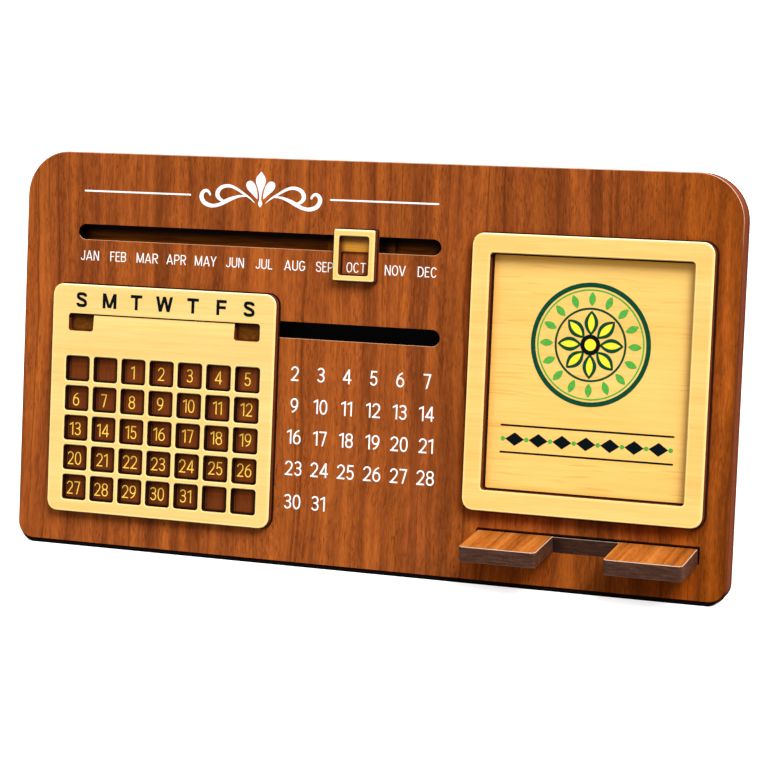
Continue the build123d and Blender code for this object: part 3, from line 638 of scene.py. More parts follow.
def mat_panel():
    """Recessed picture panel: warm maple, with painted shade towards the frame."""
    m = Mat("maple_panel")
    p = m.board()
    x, v = m.sep(p)[0], m.sep(p)[2]
    col, f = maple_colour(m, p, PANEL, (232, 160, 66), 0.55)
    # painted shade near the frame: warmer and darker, most at the top
    top = m.maprange(v, 36.2, 39.7)
    side = m.math("MAXIMUM", m.math("MAXIMUM", m.maprange(x, 48.4, 45.6), m.maprange(x, 110.2, 112.6)), m.maprange(v, -34.6, -36.6))
    col = m.mix(m.math("MULTIPLY", side, 0.80), col, m.mix(1.0, col, (0.97, 0.82, 0.58, 1), "MULTIPLY"))
    col = m.mix(m.math("MULTIPLY", top, 0.92), col, m.mix(1.0, col, (1.07, 0.80, 0.28, 1), "MULTIPLY"))
    ed, ef = burnt(m, p, srgb(60, 24, 12), srgb(90, 40, 22), srgb(120, 60, 36))
    col = m.mix(face_mask(m, FRONT_N, 0.55, 0.62), ed, col)
    m.set(color=col, rough=0.5, spec=0.12)
    m.bump(f, 0.15, 0.0001)
    return m.m


def mat_retainer():
    """Month slider's retainer, seen in the slot beside the window: like the slot's floor, with painted shade where the
    window ring stands over it, lighter towards both ends.
    """
    m = Mat("month_guide")
    p = m.board()
    x = m.sep(p)[0]
    # painted shade next to the window ring, lighter towards both ends
    shade_factor = m.math("MAXIMUM", m.maprange(x, -10.0, -6.0, 0.85, 0.05), m.maprange(x, 5.2, 9.3, 0.0, 0.46))
    col = m.mix(1.0, slot_floor(m, p), m.grey(shade_factor), "MULTIPLY")
    g = m.noise(m.vmul(p, (1 / 2, 1 / 2, 1 / 0.8)), 1.0, 3.0, 0.6)
    m.set(color=col, rough=0.8, spec=0.04)
    m.bump(g, 0.25, 0.0001)
    return m.m


def mat_fibre(name, c1, c2, c3, rough=0.75):
    """Dense brown board: fine mottled fibres."""
    m = Mat(name)
    p = m.board()
    a = m.noise(m.vmul(p, (1 / 0.5, 1 / 0.5, 1 / 0.5)), 1.0, 3.0, 0.65)
    b = m.noise(m.vmul(p, (1 / 6.0, 1 / 3.0, 1 / 6.0)), 1.0, 2.0, 0.5)
    f = m.math("ADD", m.math("MULTIPLY", a, 0.6), m.math("MULTIPLY", b, 0.4))
    m.set(color=m.ramp(f, [(0.35, c1), (0.5, c2), (0.66, c3)]), rough=rough, spec=0.06)
    m.bump(f, 0.3, 0.00015)
    return m.m


def mat_grid_backing():
    """Rear layer of the grid plate: near black, as painted shade for the dark line round the plate; gold-brown where it
    is the floor of the two finger holes, with painted shade towards their walls.
    """
    m = Mat("grid_backing")
    p = m.board()
    x, v = m.sep(p)[0], m.sep(p)[2]
    a = m.noise(m.vmul(p, (1 / 5.0, 1 / 3.0, 1 / 0.7)), 1.0, 3.0, 0.6)
    # near black: painted shade for the dark line round the plate
    dark = m.ramp(a, [(0.35, srgb(16, 8, 5)), (0.65, srgb(34, 16, 10))])
    b = m.noise(m.vmul(p, (1 / 1.6, 1 / 1.6, 1 / 1.3)), 1.0, 3.0, 0.6)
    gold = m.ramp(b, [(0.30, srgb(86, 43, 3)), (0.5, srgb(100, 53, 5)), (0.70, srgb(118, 66, 10))])
    # the gold floor of the holes fades into the dark towards their walls: painted shade
    holes = m.math("ADD", box_mask(m, x, v, -108.0, -98.0, 5.6, 12.6, 2.1), box_mask(m, x, v, -45.2, -35.2, 5.6, 12.6, 2.1))
    col = m.mix(m.math("MULTIPLY", holes, face_mask(m, FRONT_N)), dark, gold)
    # the walls of the squares are brown where they face right
    wall = m.math("MULTIPLY", m.maprange(m.dot(m.objnormal(), (1, 0, 0)), 0.5, 0.9), box_mask(m, x, v, -110.2, -34.2, -54.0, -1.4, 0.2))
    col = m.mix(wall, col, srgb(112, 55, 26))
    m.set(color=col, rough=0.7, spec=0.06)
    m.bump(a, 0.3, 0.00015)
    return m.m


def mat_month_bridge():
    """Rear layer of the month window: the golden strip above the month, near-black edges elsewhere as painted shade for
    the dark line round the ring.
    """
    m = Mat("month_strip")
    p = m.board()
    x, v = m.sep(p)[0], m.sep(p)[2]
    col, f = maple_colour(m, p, GOLDEN, (200, 130, 40), 0.45)
    ed, ef = burnt(m, p, srgb(20, 9, 5), srgb(34, 15, 9), srgb(52, 24, 14))
    out = m.math("MULTIPLY", m.maprange(m.dot(m.objnormal(), (1, 0, 0)), 0.5, 0.9), m.maprange(x, 3.4, 3.8))
    ed = m.mix(out, ed, srgb(100, 46, 20))
    # painted shade: darker towards the top and left of the strip, where the ring stands over it
    shade = m.math("MULTIPLY", m.maprange(x, -8.5, -6.0), m.math("SUBTRACT", 1.0, m.maprange(v, 39.6, 43.1)))
    col = m.mix(shade, m.mix(1.0, col, (0.26, 0.19, 0.10, 1), "MULTIPLY"), col)
    face = m.math("MULTIPLY", face_mask(m, FRONT_N), box_mask(m, x, v, -8.2, 2.6, 37.9, 43.35, 0.15))
    col = m.mix(face, ed, col)
    m.set(color=col, rough=0.5, spec=0.12)
    m.bump(f, 0.15, 0.0001)
    return m.m


def mat_ledge():
    m = Mat("walnut_ledge")
    p = m.mm()
    q = m.t.nodes.new("ShaderNodeMapping")
    m.link(p, q.inputs[0])
    q.inputs["Rotation"].default_value = (radians(90), 0, 0)
    col, f, pores = walnut_colour(m, q.outputs[0], seed=5.0, pal=LIGHT_WALNUT, pore=(150, 70, 26), width=0.55)
    up = m.dot(m.objnormal(), (0, 0, 1))
    face = m.maprange(m.math("ABSOLUTE", up), 0.82, 0.95)
    e1 = m.noise(m.vmul(p, (1 / 5.0, 1 / 5.0, 1 / 0.7)), 1.0, 3.0, 0.62)
    e2 = m.noise(m.vmul(p, (1 / 1.1, 1 / 1.1, 1 / 0.28)), 1.0, 2.0, 0.6)
    ef = m.math("ADD", m.math("MULTIPLY", e1, 0.6), m.math("MULTIPLY", e2, 0.4))
    edge = m.ramp(ef, [(0.34, srgb(48, 29, 20)), (0.5, srgb(70, 44, 33)), (0.66, srgb(92, 61, 47))])
    # painted shade: the web between the ledges and the parts near the board are darker
    x, y, z = m.sep(p)[0], m.sep(p)[1], m.sep(p)[2]
    web = m.math("MULTIPLY", m.math("MULTIPLY", m.maprange(y, -25.2, -24.5), m.maprange(x, 69.2, 69.5)),
                 m.math("SUBTRACT", 1.0, m.maprange(x, 91.1, 91.4)))
    edge = m.mix(web, edge, m.mix(1.0, edge, m.mix(m.maprange(x, 69.5, 76.0), (0.28, 0.24, 0.22, 1), (0.62, 0.56, 0.50, 1)), "MULTIPLY"))
    col = m.mix(face, edge, col)
    col = m.mix(m.math("MULTIPLY", web, m.maprange(up, 0.5, 0.9)), col, srgb(16, 8, 5))
    # painted light: the right-hand sides are made lighter
    nx = m.dot(m.objnormal(), (1, 0, 0))
    col = m.mix(m.math("MULTIPLY", m.maprange(nx, 0.3, 0.9), 0.45), col, m.mix(1.0, col, (1.9, 1.5, 1.2, 1), "MULTIPLY"))
    # painted highlight: a thin bright line along the top of the upper arris, a faint one along the lower
    ar = m.math("MULTIPLY", m.maprange(up, 0.30, 0.50), m.math("SUBTRACT", 1.0, m.maprange(up, 0.82, 0.92)))
    line = m.math("MULTIPLY", ar, m.maprange(z, 17.60, 17.70))
    col = m.mix(m.math("MULTIPLY", line, m.math("SUBTRACT", 0.62, m.math("MULTIPLY", web, 0.35))), col, srgb(240, 216, 196))
    lower_arris_highlight = m.math("MULTIPLY", m.maprange(up, -0.30, -0.55), m.maprange(z, 12.98, 12.86))
    col = m.mix(m.math("MULTIPLY", lower_arris_highlight, 0.35), col, srgb(190, 130, 110))
    # painted shade: near black where the plate passes through the front sheet
    gap_shade_mask = m.math("MULTIPLY", m.maprange(y, -23.62, -23.5), m.math("SUBTRACT", 1.0, m.maprange(y, -19.5, -19.2)))
    col = m.mix(gap_shade_mask, col, srgb(12, 6, 4))
    m.set(color=col, rough=0.5, spec=0.06)
    m.bump(ef, 0.2, 0.0001)
    return m.m


def mat_ink(name, c, dark, rough=0.5, painted_glow=0.0):
    m = Mat(name)
    p = m.board()
    a = m.noise(m.vmul(p, (1 / 0.9, 1 / 0.9, 1 / 0.9)), 1.0, 3.0, 0.6)
    m.set(color=m.ramp(a, [(0.3, srgb(*dark)), (0.6, srgb(*c))]), rough=rough, spec=0.04)
    # painted light: the ink glows a little so that it stays bright in the shade of the windows
    if painted_glow:
        m.b.inputs["Emission Color"].default_value = srgb(*c)
        m.b.inputs["Emission Strength"].default_value = painted_glow
    m.bump(a, 0.1, 0.00003)
    return m.m


def mat_steel():
    m = Mat("screw_steel")
    p = m.mm()
    a = m.noise(m.vmul(p, (1 / 0.15, 1 / 0.8, 1 / 0.8)), 1.0, 3.0, 0.6)
    m.set(color=m.ramp(a, [(0.3, (0.42, 0.41, 0.40, 1)), (0.7, (0.62, 0.61, 0.59, 1))]),
          rough=m.maprange(a, 0.3, 0.7, 0.25, 0.45, smooth=False), metal=1.0)
    m.bump(a, 0.1, 0.00003)
    return m.m


def mat_rubber():
    m = Mat("pad_rubber")
    p = m.mm()
    a = m.noise(m.vmul(p, (1 / 0.3, 1 / 0.3, 1 / 0.3)), 1.0, 2.0, 0.6)
    m.set(color=m.ramp(a, [(0.3, (0.02, 0.02, 0.02, 1)), (0.7, (0.05, 0.05, 0.048, 1))]), rough=0.8, spec=0.2)
    m.bump(a, 0.3, 0.0001)
    return m.m


def mat_strip():
    """Soft black strip that the board's lower edge stands on, near black as painted shade under that edge."""
    m = Mat("base_rubber")
    p = m.board()
    a = m.noise(m.vmul(p, (1 / 2.0, 1 / 0.4, 1 / 0.4)), 1.0, 2.0, 0.6)
    col = m.ramp(a, [(0.3, (0.0025, 0.002, 0.002, 1)), (0.7, (0.006, 0.005, 0.0045, 1))])
    x = m.math("ABSOLUTE", m.sep(p)[0])
    # brown towards both ends, where the strip thins out round the corners
    corner_brown = m.ramp(a, [(0.3, srgb(66, 30, 17)), (0.7, srgb(92, 44, 27))])
    m.set(color=m.mix(m.maprange(x, 122.8, 125.9), col, corner_brown), rough=0.95, spec=0.0)
    m.bump(a, 0.25, 0.0001)
    return m.m


M_BOARD = mat_board_front()
M_MID = mat_edge_only("edge_fibre")
M_BACK = mat_back()
M_LEG = mat_stand("walnut_leg", "X", 7.0)
M_BRACE = mat_stand("walnut_brace", "Y", 11.0)
M_RING = mat_maple("maple_ring", edge=((84, 36, 18), (114, 54, 30), (140, 72, 42)), outer=(-10.05, 4.65, 28.4, 45.5, 0.7),
                   opening=(-8.15, 2.55, 30.25, 43.3, 0.85), inner=((-9.2, 3.6, 41.0, 44.4, 0.3),))
M_PLATE = mat_maple("maple_plate", MAPLE_PALE, outer=(-114.1, -29.8, -56.5, 22.6, 3.9),
                    inner=((-112.6, -31.1, -54.9, -1.9, 0.12), (-112.6, -31.1, -1.9, 10.6, 0.85), (-112.6, -31.1, 10.6, 21.2, 0.2)),
                    cells=True)
M_FRAME = mat_maple("maple_frame", outer=(38.9, 119.1, -43.9, 46.4, 4.0), opening=(45.15, 112.95, -37.0, 40.05, 1.1),
                    inner=((40.4, 117.6, -42.3, 45.0, 0.75), (40.4, 117.6, 38.4, 45.0, 0.15)))
M_PANEL = mat_panel()
M_RETAINER = mat_retainer()
M_STRIP = mat_month_bridge()
M_BACKING = mat_grid_backing()
# near black: painted shade for the dark line round the picture frame
M_FRAMEBACK = mat_fibre("frame_edge", srgb(22, 9, 5), srgb(38, 16, 10), srgb(56, 26, 17))
# near black, as painted shade: these parts are seen only deep in the slots
M_RUN = mat_fibre("runner_fibre", srgb(8, 5, 3), srgb(14, 8, 5), srgb(22, 13, 8))
M_LEDGE = mat_ledge()
M_STEEL = mat_steel()
M_RUBBER = mat_rubber()
M_WHITE = mat_ink("ink_white", (252, 251, 249), (242, 240, 237), 0.45, 0.04)
M_GOLD = mat_ink("ink_gold", (252, 212, 84), (244, 198, 66), 0.42, 0.21)
M_NAVY = mat_ink("ink_navy", (1, 12, 16), (1, 8, 11), 0.5)
M_BASE = mat_strip()
M_GREEN = mat_ink("ink_green", (10, 72, 48), (6, 56, 38), 0.45)
M_LIME = mat_ink("ink_leaf", (92, 176, 70), (70, 152, 58), 0.45)
M_YELLOW = mat_ink("ink_yellow", (250, 232, 60), (240, 216, 40), 0.45)

for names, mat in ((("front_board",), M_BOARD), (("channel_layer",), M_MID), (("back_cover",), M_BACK),
                   (("leg_left", "leg_right"), M_LEG), (("leg_brace",), M_BRACE),
                   (("month_window",), M_RING), (("date_plate",), M_PLATE), (("picture_frame",), M_FRAME),
                   (("picture_panel",), M_PANEL), (("month_retainer",), M_RETAINER),
                   (("month_bridge",), M_STRIP), (("date_backing",), M_BACKING), (("frame_backing",), M_FRAMEBACK),
                   (("month_tongue", "date_runner", "date_retainer"), M_RUN),
                   (("ledge_plate",), M_LEDGE), (("back_screws",), M_STEEL),
                   (("pad_left_front", "pad_left_rear", "pad_right_front", "pad_right_rear"), M_RUBBER),
                   (("base_strip",), M_BASE)):
    for nm in names:
        o = NODES[nm]
        o.data.materials.clear()
        o.data.materials.append(mat)


def soften(nm, width, seg=2, ang=35):
    """Breaks the sharp edges of a CAD node without touching its mesh."""
    o = NODES[nm]
    w = o.modifiers.new("weld", "WELD")
    w.merge_threshold = 1e-6
    b = o.modifiers.new("edges", "BEVEL")
    b.width = width
    b.segments = seg
    b.limit_method = "ANGLE"
    b.angle_limit = radians(ang)
    b.harden_normals = False


for nm in ("leg_left", "leg_right", "leg_brace"):
    soften(nm, 0.0004)

# ------------------------------------------------------------------ strip under the board
def base_strip_mesh():
    """The strip that the lower edge stands on, thinning out to nothing round both lower corners."""
    R, W, LOW, T = 5.8, 127.0, -67.5, 1.25
    st = []
    k = 18
    for i in range(k + 1):                        # left corner, from the side down to the straight edge
        a = radians(52.0 * (1 - i / k))
        st.append((-W + R - R * sin(a), LOW + R * (1 - cos(a)), T * (1 - (a / radians(52.0))) ** 0.75))
    straight = [(-W + R + (2 * W - 2 * R) * i / 60, LOW, T) for i in range(1, 60)]
    st = st + straight + [(-x, v, t) for x, v, t in reversed(st)]
    n0, n1 = -5.5, -0.35
    bm = bmesh.new()
    rings = []
    for x, v, t in st:
        low = []
        for n in (n0, n1):
            floor_v = (-Z0 - n * SL) / CL
            low.append(min(max(v - t, floor_v), v - 0.004))
        loop = [(x, v - 0.002, n1), (x, v - 0.002, n0), (x, low[0], n0), (x, low[1], n1)]
        rings.append([bm.verts.new(bw(*q)) for q in loop])
    for a, b in zip(rings, rings[1:]):
        for i in range(4):
            j = (i + 1) % 4
            bm.faces.new([a[i], a[j], b[j], b[i]])
    bm.faces.new(rings[0][::-1])
    bm.faces.new(rings[-1])
    bmesh.ops.recalc_face_normals(bm, faces=bm.faces)
    me = bpy.data.meshes.new("foot_strip")
    bm.to_mesh(me)
    bm.free()
    me.materials.append(M_BASE)
    o = bpy.data.objects.new("foot_strip", me)
    bpy.context.scene.collection.objects.link(o)
    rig.ride(o, "stand")
    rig.replaces(o, "base_strip")
    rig.slot(o, "pad")


base_strip_mesh()


# ------------------------------------------------------------------ flat shapes from strokes
def arc(cx, cy, rx, ry, a0, a1, n=2.0, k=None):
    k = k or max(4, int(abs(a1 - a0) / 9))
    out = []
    for i in range(k + 1):
        a = radians(a0 + (a1 - a0) * i / k)
        c, s = cos(a), sin(a)
        out.append((cx + rx * math.copysign(abs(c) ** (2 / n), c), cy + ry * math.copysign(abs(s) ** (2 / n), s)))
    return out


def bez(p0, p1, p2, p3, k=10):
    out = []
    for i in range(k + 1):
        t = i / k
        u = 1 - t
        out.append(tuple(u ** 3 * a + 3 * u * u * t * b + 3 * u * t * t * c + t ** 3 * d
                         for a, b, c, d in zip(p0, p1, p2, p3)))
    return out


def join(*runs):
    out = []
    for r in runs:
        for p in r:
            if not out or (abs(p[0] - out[-1][0]) + abs(p[1] - out[-1][1])) > 1e-5:
                out.append(p)
    return out


def ribbon(pts, t, closed=False):
    """Quads along a centreline. t: thickness, or a list with one value per point."""
    n = len(pts)
    if closed and abs(pts[0][0] - pts[-1][0]) + abs(pts[0][1] - pts[-1][1]) < 1e-6:
        pts = pts[:-1]
        n -= 1
    ts = t if isinstance(t, (list, tuple)) else [t] * n
    L, R = [], []
    for i in range(n):
        a = pts[i - 1] if (i > 0 or closed) else None
        b = pts[(i + 1) % n] if (i < n - 1 or closed) else None
        p = pts[i]
        d1 = Vector((p[0] - a[0], p[1] - a[1])).normalized() if a else None
        d2 = Vector((b[0] - p[0], b[1] - p[1])).normalized() if b else None
        d = ((d1 or d2) + (d2 or d1)).normalized()
        nrm = Vector((-d.y, d.x))
        k = 1.0
        if d1 and d2:
            k = 1.0 / max(0.5, (d1.dot(d2) * 0.5 + 0.5) ** 0.5)
        h = ts[i] / 2 * k
        L.append((p[0] + nrm.x * h, p[1] + nrm.y * h))
        R.append((p[0] - nrm.x * h, p[1] - nrm.y * h))
    quads = []
    for i in range(n if closed else n - 1):
        j = (i + 1) % n
        quads.append([R[i], R[j], L[j], L[i]])
    return quads


def rect(x0, y0, x1, y1):
    return [[(x0, y0), (x1, y0), (x1, y1), (x0, y1)]]


def diag(x0, y0, x1, y1, t, ta=None):
    """Slanted stroke with level ends; (x0, y0) and (x1, y1) are the middles of its ends."""
    dy = y1 - y0
    w = t * math.hypot(x1 - x0, dy) / abs(dy)
    return [[(x0 - w / 2, y0), (x0 + w / 2, y0), (x1 + w / 2, y1), (x1 - w / 2, y1)]]


def glyph(ch, t, ws=1.0):
    """Polygons and width of a plain narrow sans glyph, cap height 1, stroke t, width scale ws."""
    l, b, T = t / 2, t / 2, 1 - t / 2
    W = {"0": .60, "1": .37, "2": .60, "3": .585, "4": .66, "5": .58, "6": .60, "7": .58, "8": .60, "9": .60,
         "A": .74, "B": .60, "C": .64, "D": .62, "E": .50, "F": .49, "G": .65, "J": .50, "L": .48, "M": .80, "N": .62,
         "O": .66, "P": .60, "R": .62, "S": .60, "T": .62, "U": .62, "V": .72, "W": 1.02, "Y": .68}
    w = W[ch] * ws + (t - 0.145) * 0.9
    r, cx = w - t / 2, w / 2
    rx = (w - t) / 2
    if ch in "0O":
        n = 2.35 if ch == "0" else 2.25
        return ribbon(arc(cx, .5, rx, .5 - t / 2, 0, 360, n, 48), t, True), w
    if ch == "1":
        return rect(w - t, 0, w, 1) + [[(0, .745), (w - t * .5, .885), (w - t * .5, 1.0), (0, .865)]], w
    if ch == "2":
        my = .70
        top = arc(cx, my, rx, T - my, 172, -14, 2.1, 20)
        e = top[-1]
        low = bez(e, (e[0] - .03, e[1] - .14), (l + .22, .27), (l + .055, t * .80), 10)
        return ribbon(join(top, low), t) + rect(0.0, 0, w, t) + [[(0.0, 0), (t * 1.3, 0), (t * 1.5, t * 1.1), (0.0, t * .75)]], w
    if ch == "3":
        m = .525
        up = arc(cx - .01, (T + m) / 2, rx * .95, (T - m) / 2, 158, -90, 2.15, 24)
        lo = arc(cx, (m + b) / 2, rx, (m - b) / 2, 90, -160, 2.15, 26)
        return ribbon(up, t) + ribbon(lo, t) + rect(cx - .10, m - t / 2, cx + .02, m + t / 2), w
    if ch == "4":
        s = w - .12 - t
        y0 = .225
        dw = t * .95
        d = [[(0, y0), (dw * 1.15, y0), (s + t * .55, 1.0 - t * .9), (s + t * .55, 1.0), (s - t * .02, 1.0), (0, y0 + t * .72)]]
        return rect(s, 0, s + t, 1) + rect(0, y0, w, y0 + t) + d, w
    if ch == "5":
        by = .60
        bowl = arc(cx, (by + b) / 2, rx, (by - b) / 2, 138, -158, 2.15, 26)
        return (rect(.085, 1 - t, w - .03, 1) + ribbon(bowl, t) +
                [[(.085, 1), (.085 + t, 1), (.045 + t, .50), (.045 + t * .2, .455), (.045, .47)]]), w
    if ch in "69":
        by = .61
        bowl = arc(cx, (by + b) / 2, rx, (by - b) / 2, 0, 360, 2.15, 36)
        up = bez((l, .31), (l + .005, .62), (l + .10, .86), (w * .79, .955), 12)
        polys = ribbon(bowl, t, True) + ribbon(up, t)
        if ch == "9":
            polys = [[(w - x, 1 - y) for x, y in p] for p in polys]
        return polys, w
    if ch == "7":
        return rect(0, 1 - t, w, 1) + diag(.235, 0, w - t * .56, 1 - t * .5, t * .99), w
    if ch == "8":
        m = .53
        return (ribbon(arc(cx, (T + m) / 2, rx * .92, (T - m) / 2, 0, 360, 2.1, 32), t, True) +
                ribbon(arc(cx, (m + b) / 2, rx, (m - b) / 2, 0, 360, 2.15, 36), t, True)), w
    if ch == "A":
        k = t * .54
        return diag(k, 0, cx - t * .04, 1, t) + diag(w - k, 0, cx + t * .04, 1, t) + rect(.17, .23, w - .17, .23 + t * .9), w
    if ch in "BPRD":
        out = rect(0, 0, t, 1)
        if ch == "D":
            path = join([(t / 2, T), (w * .36, T)], arc(w * .36, .5, r - w * .36, .5 - t / 2, 90, -90, 2.3, 26), [(t / 2, b)])
            return out + ribbon(path, t), w
        m = .515 if ch == "B" else (.435 if ch == "P" else .47)
        ru = (r - .02) if ch == "B" else r
        xs = w * .50
        up = join([(t / 2, T), (xs, T)], arc(xs, (T + m) / 2, ru - xs, (T - m) / 2, 90, -90, 2.15, 20), [(t / 2, m)])
        out += ribbon(up, t)
        if ch == "B":
            lo = join([(t / 2, m), (xs, m)], arc(xs, (m + b) / 2, r - xs, (m - b) / 2, 90, -90, 2.15, 20), [(t / 2, b)])
            out += ribbon(lo, t)
        if ch == "R":
            out += diag(w - t * .52, 0, xs - .03, m, t)
        return out, w
    if ch in "CG":
        if ch == "C":
            return ribbon(arc(cx, .5, rx, .5 - t / 2, 34, 326, 2.3, 40), t), w
        path = join(arc(cx, .5, rx, .5 - t / 2, 36, 322, 2.3, 40), [(r, .22)])
        return ribbon(path, t) + rect(r - t / 2, .17, r + t / 2, .50) + rect(cx + .01, .50 - t * .9, r + t / 2, .50), w
    if ch == "E":
        return rect(0, 0, t, 1) + rect(0, 1 - t * .95, w, 1) + rect(0, 0, w, t * .95) + rect(0, .53 - t * .45, w - .06, .53 + t * .45), w
    if ch == "F":
        return rect(0, 0, t, 1) + rect(0, 1 - t * .95, w, 1) + rect(0, .50 - t * .45, w - .05, .50 + t * .45), w
    if ch == "L":
        return rect(0, 0, t, 1) + rect(0, 0, w, t * .95), w
    if ch == "J":
        return ribbon(join([(r, 1), (r, .30)], arc(cx, .28, rx, .28 - b, 0, -168, 2.2, 20)), t), w
    if ch == "M":
        return rect(0, 0, t, 1) + rect(w - t, 0, w, 1) + diag(cx - .02, .04, t * .60, 1, t * .95) + diag(cx + .02, .04, w - t * .60, 1, t * .95), w
    if ch == "N":
        return rect(0, 0, t, 1) + rect(w - t, 0, w, 1) + diag(w - t * .60, 0, t * .60, 1, t * .98), w
    if ch == "S":
        p = join(bez((r - .01, .72), (r - .01, .88), (cx + .12, T), (cx, T), 10),
                 bez((cx, T), (cx - .15, T), (l + .01, .90), (l + .01, .745), 10),
                 bez((l + .01, .745), (l + .01, .60), (cx - .10, .565), (cx, .525), 8),
                 bez((cx, .525), (cx + .13, .475), (r, .42), (r, .265), 8),
                 bez((r, .265), (r, .11), (cx + .14, b), (cx, b), 10),
                 bez((cx, b), (cx - .15, b), (l, .12), (l, .28), 10))
        return ribbon(p, t), w
    if ch == "T":
        return rect(0, 1 - t * .95, w, 1) + rect(cx - t / 2, 0, cx + t / 2, 1), w
    if ch == "U":
        return ribbon(join([(l, 1), (l, .32)], arc(cx, .32, rx, .32 - b, 180, 360, 2.2, 22), [(r, 1)]), t), w
    if ch == "V":
        k = t * .54
        return diag(cx - t * .04, 0, k, 1, t) + diag(cx + t * .04, 0, w - k, 1, t), w
    if ch == "W":
        k = t * .53
        q = w * .27
        return (diag(q, 0, k, 1, t) + diag(q, 0, cx - t * .02, 1, t * .95) +
                diag(w - q, 0, cx + t * .02, 1, t * .95) + diag(w - q, 0, w - k, 1, t)), w
    if ch == "Y":
        k = t * .56
        return diag(cx, .40, k, 1, t) + diag(cx, .40, w - k, 1, t) + rect(cx - t / 2, 0, cx + t / 2, .42), w
    raise ValueError(ch)


def word(text, height, t, gap=0.10, xs=1.0, ws=1.0):
    """Polygons of a word, centred on the origin, in mm."""
    x, polys = 0.0, []
    for i, ch in enumerate(text):
        g, w = glyph(ch, t, ws)
        if i:
            pair = text[i - 1] + ch
            x += gap + {"AY": -.07, "AP": 0.0, "TA": -.05, "OV": -.05, "AV": -.07, "UA": -.01}.get(pair, 0.0)
        polys += [[(px + x, py) for px, py in p] for p in g]
        x += w
    return [[((px - x / 2) * height * xs, (py - 0.5) * height) for px, py in p] for p in polys]


def hull(pts):
    """Convex hull, anticlockwise."""
    pts = sorted(set((round(x, 6), round(y, 6)) for x, y in pts))
    if len(pts) < 3:
        return pts

    def side(o, a, b):
        return (a[0] - o[0]) * (b[1] - o[1]) - (a[1] - o[1]) * (b[0] - o[0])
    lower, upper = [], []
    for run, seq in ((lower, pts), (upper, reversed(pts))):
        for p in seq:
            while len(run) >= 2 and side(run[-2], run[-1], p) <= 1e-9:
                run.pop()
            run.append(p)
    return lower[:-1] + upper[:-1]


def union(polys):
    """Union of polygons as triangles: (points, faces)."""
    verts, faces, index = [], [], {}
    for p in polys:
        if len(p) < 3:
            continue
        if len(p) == 4:
            p = hull(p)
            if len(p) < 3:
                continue
        area = sum(p[i][0] * p[(i + 1) % len(p)][1] - p[(i + 1) % len(p)][0] * p[i][1] for i in range(len(p)))
        if abs(area) < 1e-9:
            continue
        if area < 0:
            p = p[::-1]
        f = []
        for q in p:
            key = (round(q[0], 5), round(q[1], 5))
            if key not in index:
                index[key] = len(verts)
                verts.append(Vector(key))
            if not f or f[-1] != index[key]:
                f.append(index[key])
        if len(f) > 2 and f[0] == f[-1]:
            f.pop()
        if len(set(f)) == len(f) and len(f) > 2:
            faces.append(f)
    v, e, f, ov, oe, of = delaunay_2d_cdt(verts, [], faces, 0, 1e-5)
    return v, [t for t, src in zip(f, of) if src]


def flat_mesh(groups, n0, h):
    """Raised flat print. groups: list of (polygons, (x, v)) in board mm. Returns a bmesh in world metres."""
    bm = bmesh.new()
    for polys, (ox, ov) in groups:
        v2, tris = union(polys)
        top = [bm.verts.new(bw(p[0] + ox, p[1] + ov, n0 + h)) for p in v2]
        edges = {}
        for t in tris:
            try:
                bm.faces.new([top[i] for i in t])
            except ValueError:
                continue
            for i in range(3):
                a, b = t[i], t[(i + 1) % 3]
                edges[(a, b)] = edges.get((a, b), 0) + 1
        low = {}
        for (a, b) in list(edges):
            if (b, a) not in edges:
                for k in (a, b):
                    if k not in low:
                        low[k] = bm.verts.new(bw(v2[k][0] + ox, v2[k][1] + ov, n0))
                bm.faces.new([top[b], top[a], low[a], low[b]])
    loose = [v for v in bm.verts if not v.link_faces]
    bmesh.ops.delete(bm, geom=loose, context="VERTS")
    bmesh.ops.recalc_face_normals(bm, faces=bm.faces)
    return bm


def add_print(name, groups, n0, h, mat, body):
    bm = flat_mesh(groups, n0, h)
    me = bpy.data.meshes.new(name)
    bm.to_mesh(me)
    bm.free()
    # faces that look away from the board's front are turned round
    o = bpy.data.objects.new(name, me)
    bpy.context.scene.collection.objects.link(o)
    me.materials.append(mat)
    up = sum((p.normal.dot(Vector(FRONT_N)) * p.area for p in me.polygons))
    if up < 0:
        me.flip_normals()
    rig.ride(o, body)
    return o


INK = 0.06      # height of the printing, mm
BODY = "stand"

# ------------------------------------------------------------------ months
MONTHS = [("JAN", -102.16), ("FEB", -91.2), ("MAR", -80.08), ("APR", -69.05), ("MAY", -57.98), ("JUN", -47.05),
          ("JUL", -36.34), ("AUG", -25.1), ("SEP", -14.25), ("OCT", -2.95), ("NOV", 10.96), ("DEC", 22.24)]
add_print("print_months", [(word(s, 3.38, 0.098, 0.125, 1.0 if s in ("OCT", "SEP") else 1.05), (x, 32.9 if s == "OCT" else 32.6)) for s, x in MONTHS],
          0.0, INK, M_WHITE, BODY)

# ------------------------------------------------------------------ white day numbers
COLX = [-23.6, -14.0, -4.4, 5.2, 14.8, 24.4]
ROWV = [-3.5, -14.2, -24.8, -35.4, -46.7]
WHITE = [["2", "3", "4", "5", "6", "7"], ["9", "10", "11", "12", "13", "14"], ["16", "17", "18", "19", "20", "21"],
         ["23", "24", "25", "26", "27", "28"], ["30", "31"]]
groups = []
for r, row in enumerate(WHITE):
    for c, s in enumerate(row):
        groups.append((word(s, 4.9, 0.106, 0.12, 1.0), (COLX[c] + 0.1 + 0.235 * min(r, 3.2) - 0.14 * c, ROWV[r] - 0.1 + 0.07 * c)))
add_print("print_days_white", groups, 0.0, INK, M_WHITE, BODY)

